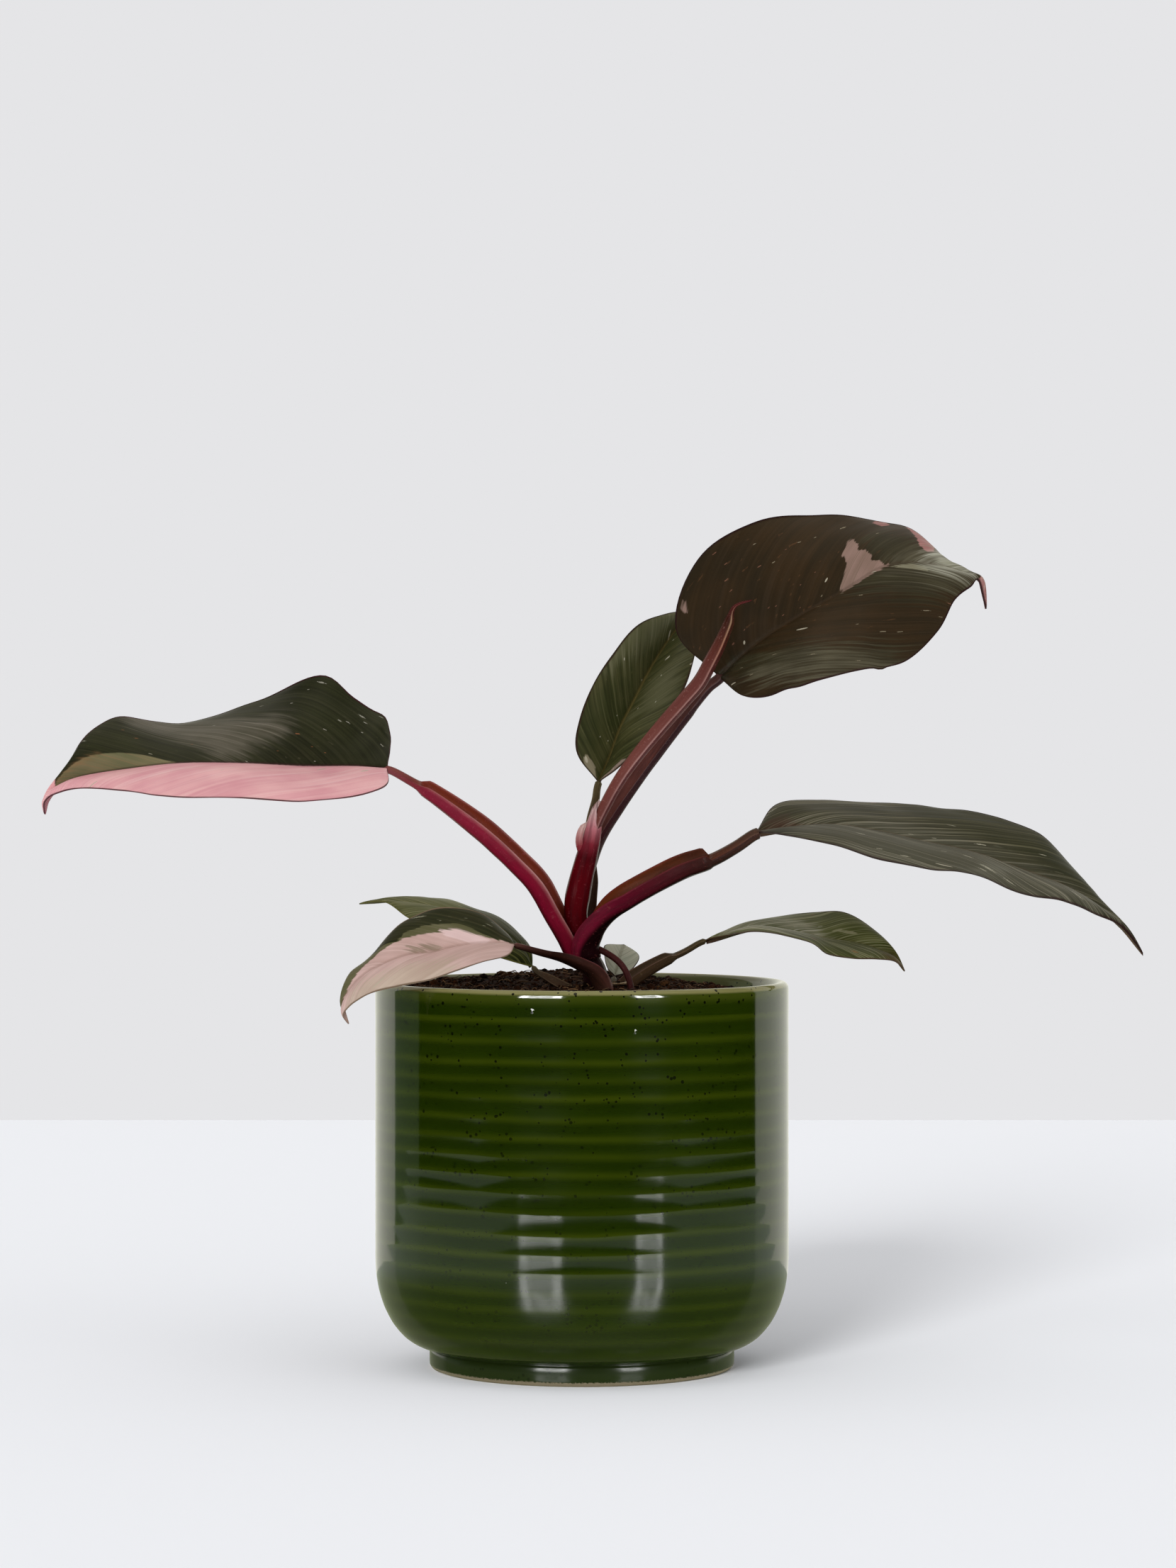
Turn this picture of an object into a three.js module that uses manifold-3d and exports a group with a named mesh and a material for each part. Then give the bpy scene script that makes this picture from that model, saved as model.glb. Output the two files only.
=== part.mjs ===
// A potted philodendron: a ribbed, glazed cachepot filled with soil, and eight leaves on
// sheathed petioles round one short stem, with one leaf still rolled and one aerial root.
// Millimetres, +Z up. The origin is on the pot's axis, in the flat face that it stands on.
// +X is to the right and +Y away from a viewer in front.
import * as THREE from 'three';
import { mergeVertices } from 'three/addons/utils/BufferGeometryUtils.js';
import Module from 'manifold-3d';

const wasm = await Module();
wasm.setup();

// Clearance between two pieces that touch, and the wider one round a faceted stem, which
// keeps GAP at its corners
const GAP = 0.3;
const STEM_CLEARANCE = 0.45;

// Pot
const POT_RADIUS = 75;
const POT_HEIGHT = 140;
const POT_WALL = 5;
const POT_SIDES = 40;
const INNER_FLOOR_RADIUS = 52;
const FOOT_RADIUS = 55;
const FOOT_HEIGHT = 8;
const CORNER_RISE = 32;
const RIB_COUNT = 19;
const RIB_DEPTH = 0.6;
const TOP_RIB_HEIGHT = 129.7;
const INNER_CORNER_STEPS = 6;

// The foot ring and the rim band of the pot, as [radius, height]: the rim is a soft roll
// that ends just inside the top of the wall
const FOOT_RING = [[53.2, 0], [54.8, 1], [55.3, 2.4], [55.3, 6.6], [54.4, 7.8]];
const RIM_BAND = [[74.5, 132.2], [74.9, 135.5], [75, 138], [74.4, 139.4], [73, POT_HEIGHT], [71.4, 139.6],
  [70.3, 138]];

// Soil
const SOIL_LEVEL = 136.5;
const SOIL_TILT = -0.02;
const MOUND = { x: -5, y: 40, height: 6, spreadX: 32, spreadY: 22 };
const CRUMB_RELIEF = 0.5;
const CRUMB_WAVES = { x: 0.55, y: 0.47 };
const CRUMB_BENDS = { x: 0.27, y: 0.31, swayX: 0.9, swayY: 1.3 };
const SOIL_SIDES = 32;
const SOIL_RINGS = 6;

// Blades: columns run from the left edge over the midrib to the right edge, and rows from
// BLADE_START to BLADE_END along the midrib, closer together at both ends. LEAST_KEEL is what
// is left of the keel at the tip.
const BLADE_THICKNESS = 0.8;
const BLADE_ROW_STEP = 8.5;
const FEWEST_BLADE_ROWS = 8;
const END_CROWDING = 0.05;
const BLADE_COLUMNS = [-1, -0.7, -0.38, -0.06, 0, 0.06, 0.38, 0.7, 1];
const BLADE_START = 0.015;
const BLADE_END = 0.985;
const LEAST_KEEL = 0.2;
const FOLD_REACH = 9;

// Stems: wing tops stand at WING_SPREAD of the half width, and the groove between them has
// corners at its walls, at GROOVE_SHOULDER of the half width and in its middle. BLUNTEST_CORNER
// is the sharpness past which a grown outline's corner is cut back. FOOT_SHARE is the share of
// the length over which the open side turns from its first direction to its second.
const RING_STEP = 7;
const BACK_FACETS = 6;
const SHEATH_WALL = 0.9;
const THICKEST_WALL = 0.45;
const WING_SPREAD = 0.97;
const GROOVE_SHOULDER = 0.45;
const NECK_LENGTH = 3;
const BLUNTEST_CORNER = 0.35;
const FOOT_SHARE = 0.35;

// Corners nearer than MERGE_DISTANCE are one, and so are places along a stem nearer than
// SMALLEST_SHARE of its length
const MERGE_DISTANCE = 1e-4;
const SMALLEST_SHARE = 1e-9;

// Each leaf has a petiole and a blade. A petiole is a route from the crown with cross-sections
// along it. open holds two directions that its open side faces, at the foot and higher up.
// A blade hangs on three guides from base to tip: its midrib and its two edges, left and right
// as seen from above with the tip away. crown is how far each half bulges upward, and keel is
// how far the midrib stands out below.
const LEAVES = {
  left: {
    colours: { petiole: 0x8c1f3f, blade: 0x2c3423 },
    petiole: {
      route: [[-3.5, 0, 150.5], [-5.5, -1, 156], [-10, -2, 164], [-16.5, -4, 175.5], [-24.5, -6, 184],
        [-33.5, -8, 192.5], [-43.5, -10, 200.5], [-54, -11, 208], [-63, -12, 213.5]],
      open: [[0.8, -0.1, 0.3], [0.6, -0.36, 0.7]],
      sections: [
        { at: 0, halfWidth: 4.2, depth: 3.6, wing: 3, channel: 3.4 },
        { at: 0.3, halfWidth: 4.7, depth: 4, wing: 3.8, channel: 4.6 },
        { at: 0.62, halfWidth: 4.4, depth: 3.8, wing: 3.6, channel: 4.4 },
        { at: 0.83, halfWidth: 3.4, depth: 2.8, wing: 2.6, channel: 3 },
        { at: 0.87, halfWidth: 1.9, depth: 1.9, wing: 0.8, channel: -0.4 },
        { at: 1, halfWidth: 1.5, depth: 1.5, wing: 0.5, channel: -0.8 },
      ],
    },
    blade: {
      base: [-70, -12, 217],
      tip: [-192.5, -20.5, 200.5],
      midrib: [[-82, -13, 218], [-100, -15, 218], [-122, -17, 219], [-144, -18, 219], [-162, -19, 217],
        [-179, -20, 214], [-187.5, -21, 210], [-191.5, -21, 205.5]],
      left: [[-71, -34, 210], [-94, -48, 206], [-119, -53, 207], [-141, -50, 207], [-160, -44, 209],
        [-177, -34, 210], [-187, -27, 208], [-191.5, -23, 205]],
      right: [[-72, 4, 235], [-92, 1, 251], [-119, 13, 242], [-147, 12, 234], [-168, -2, 235],
        [-180, -15, 228], [-187, -19, 215], [-191.5, -19, 206.5]],
      crown: 2.2,
      keel: 1.6,
    },
  },
  top: {
    colours: { petiole: 0x5c1626, blade: 0x33241c },
    petiole: {
      route: [[-1, 4, 152.5], [-2, 4, 161.5], [-1.5, 4, 172], [1.5, 4, 181.5], [5.5, 4, 192],
        [12, 4, 202.5], [20.5, 4, 214.5], [29.5, 3, 226.5], [38.5, 1, 238], [46, -1, 247]],
      open: [[-0.1, -1, 0.1], [-0.6, -0.6, 0.5]],
      sections: [
        { at: 0, halfWidth: 3.4, depth: 2.6, wing: 1.2, channel: 0.2 },
        { at: 0.18, halfWidth: 3.8, depth: 3, wing: 2, channel: 1.8 },
        { at: 0.36, halfWidth: 4, depth: 3, wing: 2.4, channel: 3 },
        { at: 0.6, halfWidth: 3.2, depth: 2.7, wing: 1.6, channel: 2 },
        { at: 0.83, halfWidth: 2.8, depth: 2.5, wing: 1.4, channel: 1.2 },
        { at: 0.87, halfWidth: 2.4, depth: 2.3, wing: 0.8, channel: -0.8 },
        { at: 1, halfWidth: 2.1, depth: 2.1, wing: 0.6, channel: -1.2 },
      ],
    },
    blade: {
      base: [50, -2, 250],
      tip: [145, -19, 274],
      midrib: [[57, -6, 257], [67, -10, 265], [80, -14, 273], [94, -17, 281], [107, -20, 289],
        [117, -21, 291], [128, -21, 290], [137, -20, 287], [143, -19, 284]],
      left: [[35, 5, 268], [44, -1, 294], [64, -3, 307], [86, 4, 310], [105, 5, 308], [117, 0, 303],
        [128, -7, 296], [137, -14, 288], [143, -17, 285]],
      right: [[58, -21, 243], [70, -32, 243], [84, -38, 248], [100, -37, 252], [115, -31, 255],
        [127, -29, 266], [133, -28, 277], [139, -24, 282], [142, -21, 284]],
      crown: 2.6,
      keel: 1.8,
    },
  },
  right: {
    colours: { petiole: 0x6e1c2e, blade: 0x39402f },
    petiole: {
      route: [[0.5, -4, 148.5], [0.5, -4, 154], [3.5, -5, 160], [9, -6, 165.5], [16.5, -7, 170.5],
        [26.5, -8, 176], [37, -8, 181], [47, -8, 184.5], [55.5, -7, 189]],
      open: [[-0.3, 0.5, 0.6], [-0.45, -0.4, 0.8]],
      sections: [
        { at: 0, halfWidth: 4, depth: 3.4, wing: 1.6, channel: -0.6 },
        { at: 0.12, halfWidth: 4.6, depth: 4.2, wing: 2.4, channel: 1 },
        { at: 0.3, halfWidth: 4.6, depth: 4, wing: 3.8, channel: 4.4 },
        { at: 0.6, halfWidth: 4.2, depth: 3.8, wing: 3.8, channel: 4.4 },
        { at: 0.68, halfWidth: 3.6, depth: 3.2, wing: 3.2, channel: 3.4 },
        { at: 0.72, halfWidth: 2.6, depth: 2.6, wing: 0.8, channel: -0.8 },
        { at: 1, halfWidth: 2, depth: 2, wing: 0.6, channel: -1.1 },
      ],
    },
    blade: {
      base: [63, -6, 194],
      tip: [204, -2, 149],
      midrib: [[76, -7, 196], [90, -8, 197], [105, -8, 195], [123, -8, 191], [141, -7, 187], [158, -6, 181],
        [174, -5, 175], [187, -4, 167], [196, -3, 159]],
      left: [[71, 9, 204], [88, 17, 205], [109, 21, 204], [129, 22, 203], [149, 21, 200], [166, 17, 194],
        [179, 12, 182], [189, 6, 169], [198, 0, 159]],
      right: [[74, -24, 193], [90, -33, 190], [105, -37, 185], [122, -40, 182], [140, -38, 179],
        [158, -31, 172], [173, -23, 169], [186, -13, 164], [196, -6, 159]],
      crown: 2,
      keel: 1.6,
    },
  },
  back: {
    colours: { petiole: 0x4a4434, blade: 0x2b3620 },
    petiole: {
      route: [[2, 8, 156], [2, 10, 166.5], [2.5, 11, 176.5], [2.5, 12, 187], [3, 13, 197.5], [5, 13.5, 206]],
      open: [[0.3, -0.9, 0.2], [0.3, -0.9, 0.2]],
      sections: [
        { at: 0, halfWidth: 3, depth: 2.4, wing: 1.6, channel: 1.6 },
        { at: 0.35, halfWidth: 3.2, depth: 2, wing: 1.6, channel: 1.8 },
        { at: 0.6, halfWidth: 1.8, depth: 1.6, wing: 0.6, channel: -0.4 },
        { at: 1, halfWidth: 1.3, depth: 1.3, wing: 0.4, channel: -0.7 },
      ],
    },
    blade: {
      base: [6, 14, 212],
      tip: [51, 66, 277],
      midrib: [[10, 17, 221], [14, 21, 232], [19, 26, 242], [24, 32, 252], [30, 39, 262], [36, 47, 270],
        [44, 56, 275]],
      left: [[-2, 12, 223], [-1, 14, 235], [4, 18, 248], [11, 23, 259], [20, 30, 270], [31, 41, 275],
        [41.5, 54.5, 277]],
      right: [[15, 6, 219], [24, 8, 228], [33, 15, 238], [39, 23, 250], [42, 30, 260], [44.5, 41, 268],
        [47.5, 54, 273]],
      crown: 1.6,
      keel: 1.4,
    },
  },
  low_right: {
    colours: { petiole: 0x4f3b28, blade: 0x2f3a25 },
    petiole: {
      route: [[13, 5, 125], [13.5, 5.5, 133.5], [16.5, 7, 138.5], [22, 9, 142.5], [29.5, 12, 146.5],
        [37.5, 14.5, 150]],
      open: [[-0.5, -0.2, 0.8], [-0.3, -0.3, 0.9]],
      sections: [
        { at: 0, halfWidth: 2.8, depth: 2, wing: 1.2, channel: -0.4 },
        { at: 0.35, halfWidth: 3, depth: 1.9, wing: 1.2, channel: 1 },
        { at: 0.68, halfWidth: 2.2, depth: 1.5, wing: 1.3, channel: 1.1 },
        { at: 0.74, halfWidth: 1.5, depth: 1.3, wing: 0.5, channel: -0.6 },
        { at: 1, halfWidth: 1.2, depth: 1.2, wing: 0.4, channel: -0.6 },
      ],
    },
    blade: {
      base: [45, 16, 154],
      tip: [118, 8, 143],
      midrib: [[52, 16, 156], [59, 15, 158], [66, 14, 159], [81, 12, 157], [89, 11, 155], [98, 10, 154],
        [106, 9, 152], [114, 8, 148]],
      left: [[52, 20, 157], [59, 23, 160], [65, 26, 161], [79, 29, 163], [87, 27, 164], [96, 22, 164],
        [105, 17, 160], [113, 11, 152]],
      right: [[54, 12, 156], [57, 7, 157], [65, 2, 158], [82, -6, 154], [89, -7, 150], [98, -5, 148],
        [107, -2, 148], [114, 3, 147]],
      crown: 1.2,
      keel: 1.2,
    },
  },
  low_left: {
    colours: { petiole: 0x54202a, blade: 0xb9928c },
    petiole: {
      route: [[8.5, -5.2, 125], [8.5, -5.8, 133], [7.5, -7.2, 138.5], [4.5, -9.2, 143.5], [-0.5, -12, 146.5],
        [-6.5, -15, 149], [-14, -20, 151]],
      open: [[0.1, 0.6, 0.6], [0.1, 0.3, 0.9]],
      sections: [
        { at: 0, halfWidth: 3.2, depth: 2.6, wing: 1.4, channel: -0.4 },
        { at: 0.3, halfWidth: 3.4, depth: 3, wing: 1.6, channel: 0.6 },
        { at: 0.5, halfWidth: 3, depth: 2.2, wing: 1.4, channel: 1 },
        { at: 0.72, halfWidth: 1.8, depth: 1.5, wing: 0.8, channel: 0.3 },
        { at: 1, halfWidth: 1.2, depth: 1.2, wing: 0.4, channel: -0.6 },
      ],
    },
    blade: {
      base: [-24, -26, 154],
      tip: [-82, -49, 127],
      midrib: [[-29, -28, 155], [-36, -31, 155], [-44, -34, 154], [-53, -37, 152], [-62, -40, 151],
        [-70, -43, 148], [-76, -46, 145], [-81, -48, 140], [-84, -49, 134]],
      left: [[-26, -37, 151], [-35, -46, 149], [-44, -51, 146], [-53, -54, 143], [-62, -54, 141],
        [-70, -54, 139], [-76, -54, 137], [-81, -52, 134], [-84, -50, 130]],
      right: [[-27, -18, 158], [-34, -17, 164], [-44, -20, 167], [-53, -24, 167], [-62, -27, 163],
        [-69, -31, 157], [-76, -36, 149], [-82, -42, 144], [-85, -47, 136]],
      crown: 1.4,
      keel: 1.2,
    },
  },
  low_back: {
    colours: { petiole: 0x4d4a2e, blade: 0x2c3b1e },
    petiole: {
      route: [[-3, 3.5, 124], [-3.5, 2.5, 131], [-6.5, 1.5, 135.5], [-10, 0.5, 138.5], [-13.5, -0.5, 141]],
      open: [[0.5, 0.1, 0.7], [0.4, -0.2, 0.9]],
      sections: [
        { at: 0, halfWidth: 2.4, depth: 1.5, wing: 0.8, channel: -0.4 },
        { at: 0.6, halfWidth: 2.2, depth: 1.4, wing: 0.9, channel: 0.6 },
        { at: 0.8, halfWidth: 1.3, depth: 1.2, wing: 0.4, channel: -0.5 },
        { at: 1, halfWidth: 1.1, depth: 1.1, wing: 0.4, channel: -0.6 },
      ],
    },
    blade: {
      base: [-18, 0, 145],
      tip: [-83, 34, 167],
      midrib: [[-20, 3, 150], [-25, 7, 155], [-31, 11, 159], [-39, 15, 163], [-47, 19, 165], [-57, 23, 167],
        [-66, 27, 168], [-73, 30, 168]],
      left: [[-25, -3, 147], [-31, -3, 149], [-38, -2, 152], [-46, 1, 156], [-53, 5, 158], [-59, 10, 160],
        [-65, 17, 163], [-73, 26, 168]],
      right: [[-19, 11, 152], [-24, 20, 157], [-31, 27, 162], [-40, 32, 165], [-48, 36, 168], [-58, 38, 169],
        [-66, 38, 169], [-74, 34, 169]],
      crown: 1.2,
      keel: 1.1,
    },
  },
  small: {
    colours: { petiole: 0x5b5a48, blade: 0x636b58 },
    petiole: {
      route: [[9, 10.5, 124], [9.5, 10.5, 131], [10.5, 11, 136.5]],
      open: [[0, -0.9, 0.3], [0, -0.9, 0.3]],
      sections: [
        { at: 0, halfWidth: 1.5, depth: 1.3, wing: 0.5, channel: -0.6 },
        { at: 1, halfWidth: 1.1, depth: 1.1, wing: 0.4, channel: -0.6 },
      ],
    },
    blade: {
      base: [12, 13, 141],
      tip: [16, 29, 151],
      midrib: [[13, 16, 144], [14, 20, 147], [15, 25, 150]],
      left: [[10, 13, 143], [8, 17, 147], [10, 23, 151]],
      right: [[15, 13, 143], [19, 17, 146], [20, 22, 149]],
      crown: 0.6,
      keel: 0.8,
    },
  },
};

// The short stem that the petioles grow from, rooted in the soil
const MAIN_STEM = {
  colour: 0x5a2a22,
  route: [[5, 4, 115], [5.5, 3, 135.5], [4.5, 2.5, 143.5], [1.5, 2.5, 150], [-0.5, 3, 155]],
  open: [[1, 0, 0], [1, 0, 0]],
  sections: [
    { at: 0, halfWidth: 5.5, depth: 5.5, wing: 1.6, channel: -3.6 },
    { at: 0.7, halfWidth: 4.6, depth: 4.6, wing: 1.4, channel: -3 },
    { at: 1, halfWidth: 3, depth: 3, wing: 1, channel: -2 },
  ],
};

// The rolled new leaf, which stands in the open side of the top petiole's sheath
const NEW_LEAF = {
  colour: 0x8f4a46,
  route: [[1, -0.5, 176], [2.5, -1.5, 186], [4.5, -2.5, 195], [9, -3, 205], [14.5, -3.5, 214.5],
    [22, -4, 224.5], [30, -5, 234], [37, -7, 242], [42.5, -9, 248.5], [46, -11, 255],
    [49.5, -12, 262.5], [53, -13, 269], [56, -13.5, 275], [61.5, -14, 278]],
  open: [[-0.6, -0.6, 0.3], [-0.6, -0.6, 0.3]],
  sections: [
    { at: 0, halfWidth: 1.6, depth: 1.6, wing: 0.5, channel: -1 },
    { at: 0.25, halfWidth: 2.4, depth: 2.2, wing: 0.7, channel: -1.3 },
    { at: 0.62, halfWidth: 2.5, depth: 2.2, wing: 0.7, channel: -1.3 },
    { at: 0.74, halfWidth: 1.9, depth: 1.8, wing: 0.5, channel: -1.1 },
    { at: 0.9, halfWidth: 1.3, depth: 1.3, wing: 0.4, channel: -0.8 },
    { at: 0.95, halfWidth: 0.7, depth: 0.7, wing: 0.2, channel: -0.4 },
    { at: 1, halfWidth: 0.4, depth: 0.4, wing: 0.15, channel: -0.2 },
  ],
};

// The deep red sheath in front of the new leaf's foot, open at its back, torn at its top
const CATAPHYLL = {
  colour: 0x6a0d1c,
  route: [[-1, -1, 156], [-2.5, -1.5, 165.5], [-2, -1.5, 175.5], [0.5, -2, 184.5], [3, -2.5, 192.5],
    [4.5, -3, 199]],
  open: [[0, 1, 0], [0, 1, 0]],
  sections: [
    { at: 0, halfWidth: 3.6, depth: 3, wing: 0.8, channel: 0.6 },
    { at: 0.3, halfWidth: 4.6, depth: 3.4, wing: 1.4, channel: 3.6 },
    { at: 0.6, halfWidth: 4, depth: 2.9, wing: 1, channel: 2.9 },
    { at: 0.85, halfWidth: 2.6, depth: 1.9, wing: 0.6, channel: 1.4 },
    { at: 1, halfWidth: 1, depth: 0.8, wing: 0.4, channel: 0.1 },
  ],
};

// The aerial root, from under the right petiole down into the soil
const AERIAL_ROOT = {
  colour: 0x4a1c22,
  route: [[7, -3, 151.5], [9.5, -5, 150], [13, -6.5, 147.5], [15.5, -7.5, 144.5], [17, -8, 141],
    [18, -8, 136], [18, -8, 129]],
  open: [[0.5, -0.7, 0.4], [0.5, -0.7, 0.4]],
  sections: [
    { at: 0, halfWidth: 1.3, depth: 1.3, wing: 0.4, channel: -0.8 },
    { at: 1, halfWidth: 1.1, depth: 1.1, wing: 0.35, channel: -0.7 },
  ],
};

// Colours of the pot and the soil, and the roughness of each finish
const GLAZE_GREEN = 0x2c4408;
const SOIL_BROWN = 0x2e1d14;
const GLAZE_ROUGHNESS = 0.12;
const SOIL_ROUGHNESS = 0.95;
const BLADE_ROUGHNESS = 0.45;
const STEM_ROUGHNESS = 0.42;

// Small helpers

function vector(point) {
  return new THREE.Vector3(...point);
}

function uniformCurve(points) {
  return new THREE.CatmullRomCurve3(points.map(vector), false, 'catmullrom', 0.5);
}

// A geometry with shared corners merged and faces of no area left out
function closedGeometry(positions, faces) {
  const raw = new THREE.BufferGeometry();
  raw.setAttribute('position', new THREE.Float32BufferAttribute(positions, 3));
  raw.setIndex(faces);
  const merged = mergeVertices(raw, MERGE_DISTANCE);
  const index = merged.getIndex().array;
  const kept = [];
  for (let i = 0; i < index.length; i += 3) {
    const [a, b, c] = [index[i], index[i + 1], index[i + 2]];
    if (a !== b && b !== c && c !== a) {
      kept.push(a, b, c);
    }
  }
  merged.setIndex(kept);
  return merged;
}

function toSolid(geometry) {
  const vertProperties = new Float32Array(geometry.getAttribute('position').array);
  const triVerts = new Uint32Array(geometry.getIndex().array);
  return new wasm.Manifold(new wasm.Mesh({ numProp: 3, vertProperties, triVerts }));
}

function toGeometry(solid) {
  const mesh = solid.getMesh();
  return closedGeometry(Array.from(mesh.vertProperties), Array.from(mesh.triVerts));
}

// The biggest body of a solid, without the scraps that a cut can leave
function mainBody(solid) {
  const bodies = solid.decompose();
  return bodies.reduce((best, body) => (body.volume() > best.volume() ? body : best));
}

// What is left of a solid after its neighbours are cut out of it
function clearOf(solid, neighbours) {
  let rest = solid;
  for (const neighbour of neighbours) {
    rest = rest.subtract(neighbour);
  }
  return mainBody(rest);
}

// A lathed solid from a closed profile of [radius, height] points
function lathed(profile, sides) {
  const points = profile.map(([radius, height]) => new THREE.Vector2(radius, height));
  const turned = new THREE.LatheGeometry(points, sides);
  turned.rotateX(Math.PI / 2);
  const positions = Array.from(turned.getAttribute('position').array);
  return closedGeometry(positions, Array.from(turned.getIndex().array));
}

// Pot

// The outside from the foot groove up to the top rib: a crest, then a hollow, all the way up
function ribbedWall() {
  const cornerHeight = FOOT_HEIGHT + CORNER_RISE;
  const cornerRun = POT_RADIUS - FOOT_RADIUS;
  const wall = new THREE.Path();
  wall.absellipse(FOOT_RADIUS, cornerHeight, cornerRun, CORNER_RISE, -Math.PI / 2, 0, false, 0);
  wall.lineTo(POT_RADIUS, TOP_RIB_HEIGHT);
  const steps = 2 * RIB_COUNT;
  const points = [];
  for (let step = 1; step <= steps; step += 1) {
    const point = wall.getPointAt(step / steps);
    const along = wall.getTangentAt(step / steps);
    const hollow = step % 2 === 1 ? RIB_DEPTH : 0;
    points.push([point.x - along.y * hollow, point.y + along.x * hollow]);
  }
  return points;
}

// The inside from the straight wall down to the floor's edge, one wall thickness in
function innerWall(clearance) {
  const cornerRun = POT_RADIUS - POT_WALL - INNER_FLOOR_RADIUS;
  const cornerRise = CORNER_RISE - POT_WALL;
  const cornerHeight = FOOT_HEIGHT + CORNER_RISE;
  const points = [];
  for (let step = 0; step <= INNER_CORNER_STEPS; step += 1) {
    const angle = (step / INNER_CORNER_STEPS) * (Math.PI / 2);
    points.push([
      INNER_FLOOR_RADIUS + (cornerRun - clearance) * Math.cos(angle),
      cornerHeight - (cornerRise - clearance) * Math.sin(angle),
    ]);
  }
  return points;
}

function potGeometry() {
  const outside = [[0, 0], ...FOOT_RING, ...ribbedWall(), ...RIM_BAND];
  const inside = [...innerWall(0), [0, FOOT_HEIGHT + POT_WALL]];
  return lathed([...outside, ...inside], POT_SIDES);
}

// Soil

function soilHeight(x, y) {
  const across = ((x - MOUND.x) / MOUND.spreadX) ** 2;
  const deep = ((y - MOUND.y) / MOUND.spreadY) ** 2;
  const mound = MOUND.height * Math.exp(-(across + deep) / 2);
  const wavesX = Math.sin(CRUMB_WAVES.x * x + CRUMB_BENDS.swayY * Math.sin(CRUMB_BENDS.y * y));
  const wavesY = Math.cos(CRUMB_WAVES.y * y + CRUMB_BENDS.swayX * Math.sin(CRUMB_BENDS.x * x));
  return SOIL_LEVEL + SOIL_TILT * x + mound + CRUMB_RELIEF * wavesX * wavesY;
}

// The filling has the pot's inner form, and a top surface raised by soilHeight
function soilGeometry() {
  const wall = innerWall(GAP).reverse();
  const rimRadius = wall[wall.length - 1][0];
  const top = [];
  for (let ring = 0; ring <= SOIL_RINGS; ring += 1) {
    top.push([rimRadius * (1 - ring / SOIL_RINGS), SOIL_LEVEL]);
  }
  const geometry = lathed([[0, wall[0][1]], ...wall, ...top], SOIL_SIDES);
  const position = geometry.getAttribute('position');
  for (let i = 0; i < position.count; i += 1) {
    if (position.getZ(i) > SOIL_LEVEL - 1) {
      position.setZ(i, soilHeight(position.getX(i), position.getY(i)));
    }
  }
  return geometry;
}

// Stems: petioles, the main stem, the rolled leaf, the sheath remnant and the root

function sectionAt(sections, at) {
  const after = Math.max(1, sections.findIndex((section) => section.at >= at - SMALLEST_SHARE));
  const [a, b] = [sections[after - 1], sections[after]];
  const share = THREE.MathUtils.clamp((at - a.at) / (b.at - a.at), 0, 1);
  const mix = (key) => THREE.MathUtils.lerp(a[key], b[key], share);
  return { halfWidth: mix('halfWidth'), depth: mix('depth'), wing: mix('wing'), channel: mix('channel') };
}

// One outline, counter-clockwise: x is sideways and y points to the open side. A round back,
// then two wings, and between them a groove of depth channel, or a dome where that is negative.
function sectionOutline({ halfWidth, depth, wing, channel }) {
  const outline = [];
  for (let i = 0; i <= BACK_FACETS; i += 1) {
    const angle = (i / BACK_FACETS - 0.5) * Math.PI;
    outline.push(new THREE.Vector2(halfWidth * Math.sin(angle), -depth * Math.cos(angle)));
  }
  const floor = (x) => wing - channel * (1 - (x / halfWidth) ** 2);
  const inner = halfWidth - Math.min(SHEATH_WALL, THICKEST_WALL * halfWidth);
  const shoulder = GROOVE_SHOULDER * halfWidth;
  outline.push(new THREE.Vector2(WING_SPREAD * halfWidth, wing));
  for (const x of [inner, shoulder, 0, -shoulder, -inner]) {
    outline.push(new THREE.Vector2(x, floor(x)));
  }
  outline.push(new THREE.Vector2(-WING_SPREAD * halfWidth, wing));
  return outline;
}

// The outline with each side moved outward by a distance, and its sharpest corners blunted
function grownOutline(outline, distance) {
  const outward = outline.map((point, i) => {
    const along = outline[(i + 1) % outline.length].clone().sub(point).normalize();
    return new THREE.Vector2(along.y, -along.x);
  });
  return outline.map((point, i) => {
    const [first, second] = [outward[(i + outline.length - 1) % outline.length], outward[i]];
    const sharpness = Math.max(BLUNTEST_CORNER, 1 + first.dot(second));
    return point.clone().addScaledVector(first.clone().add(second), distance / sharpness);
  });
}

// Where the rings stand: at each named section, and no more than RING_STEP apart between
function ringPlaces(sections, length) {
  const places = [0];
  for (let i = 1; i < sections.length; i += 1) {
    const span = sections[i].at - sections[i - 1].at;
    const steps = Math.max(1, Math.round((span * length) / RING_STEP));
    for (let step = 1; step <= steps; step += 1) {
      places.push(sections[i - 1].at + (span * step) / steps);
    }
  }
  return places;
}

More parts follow.
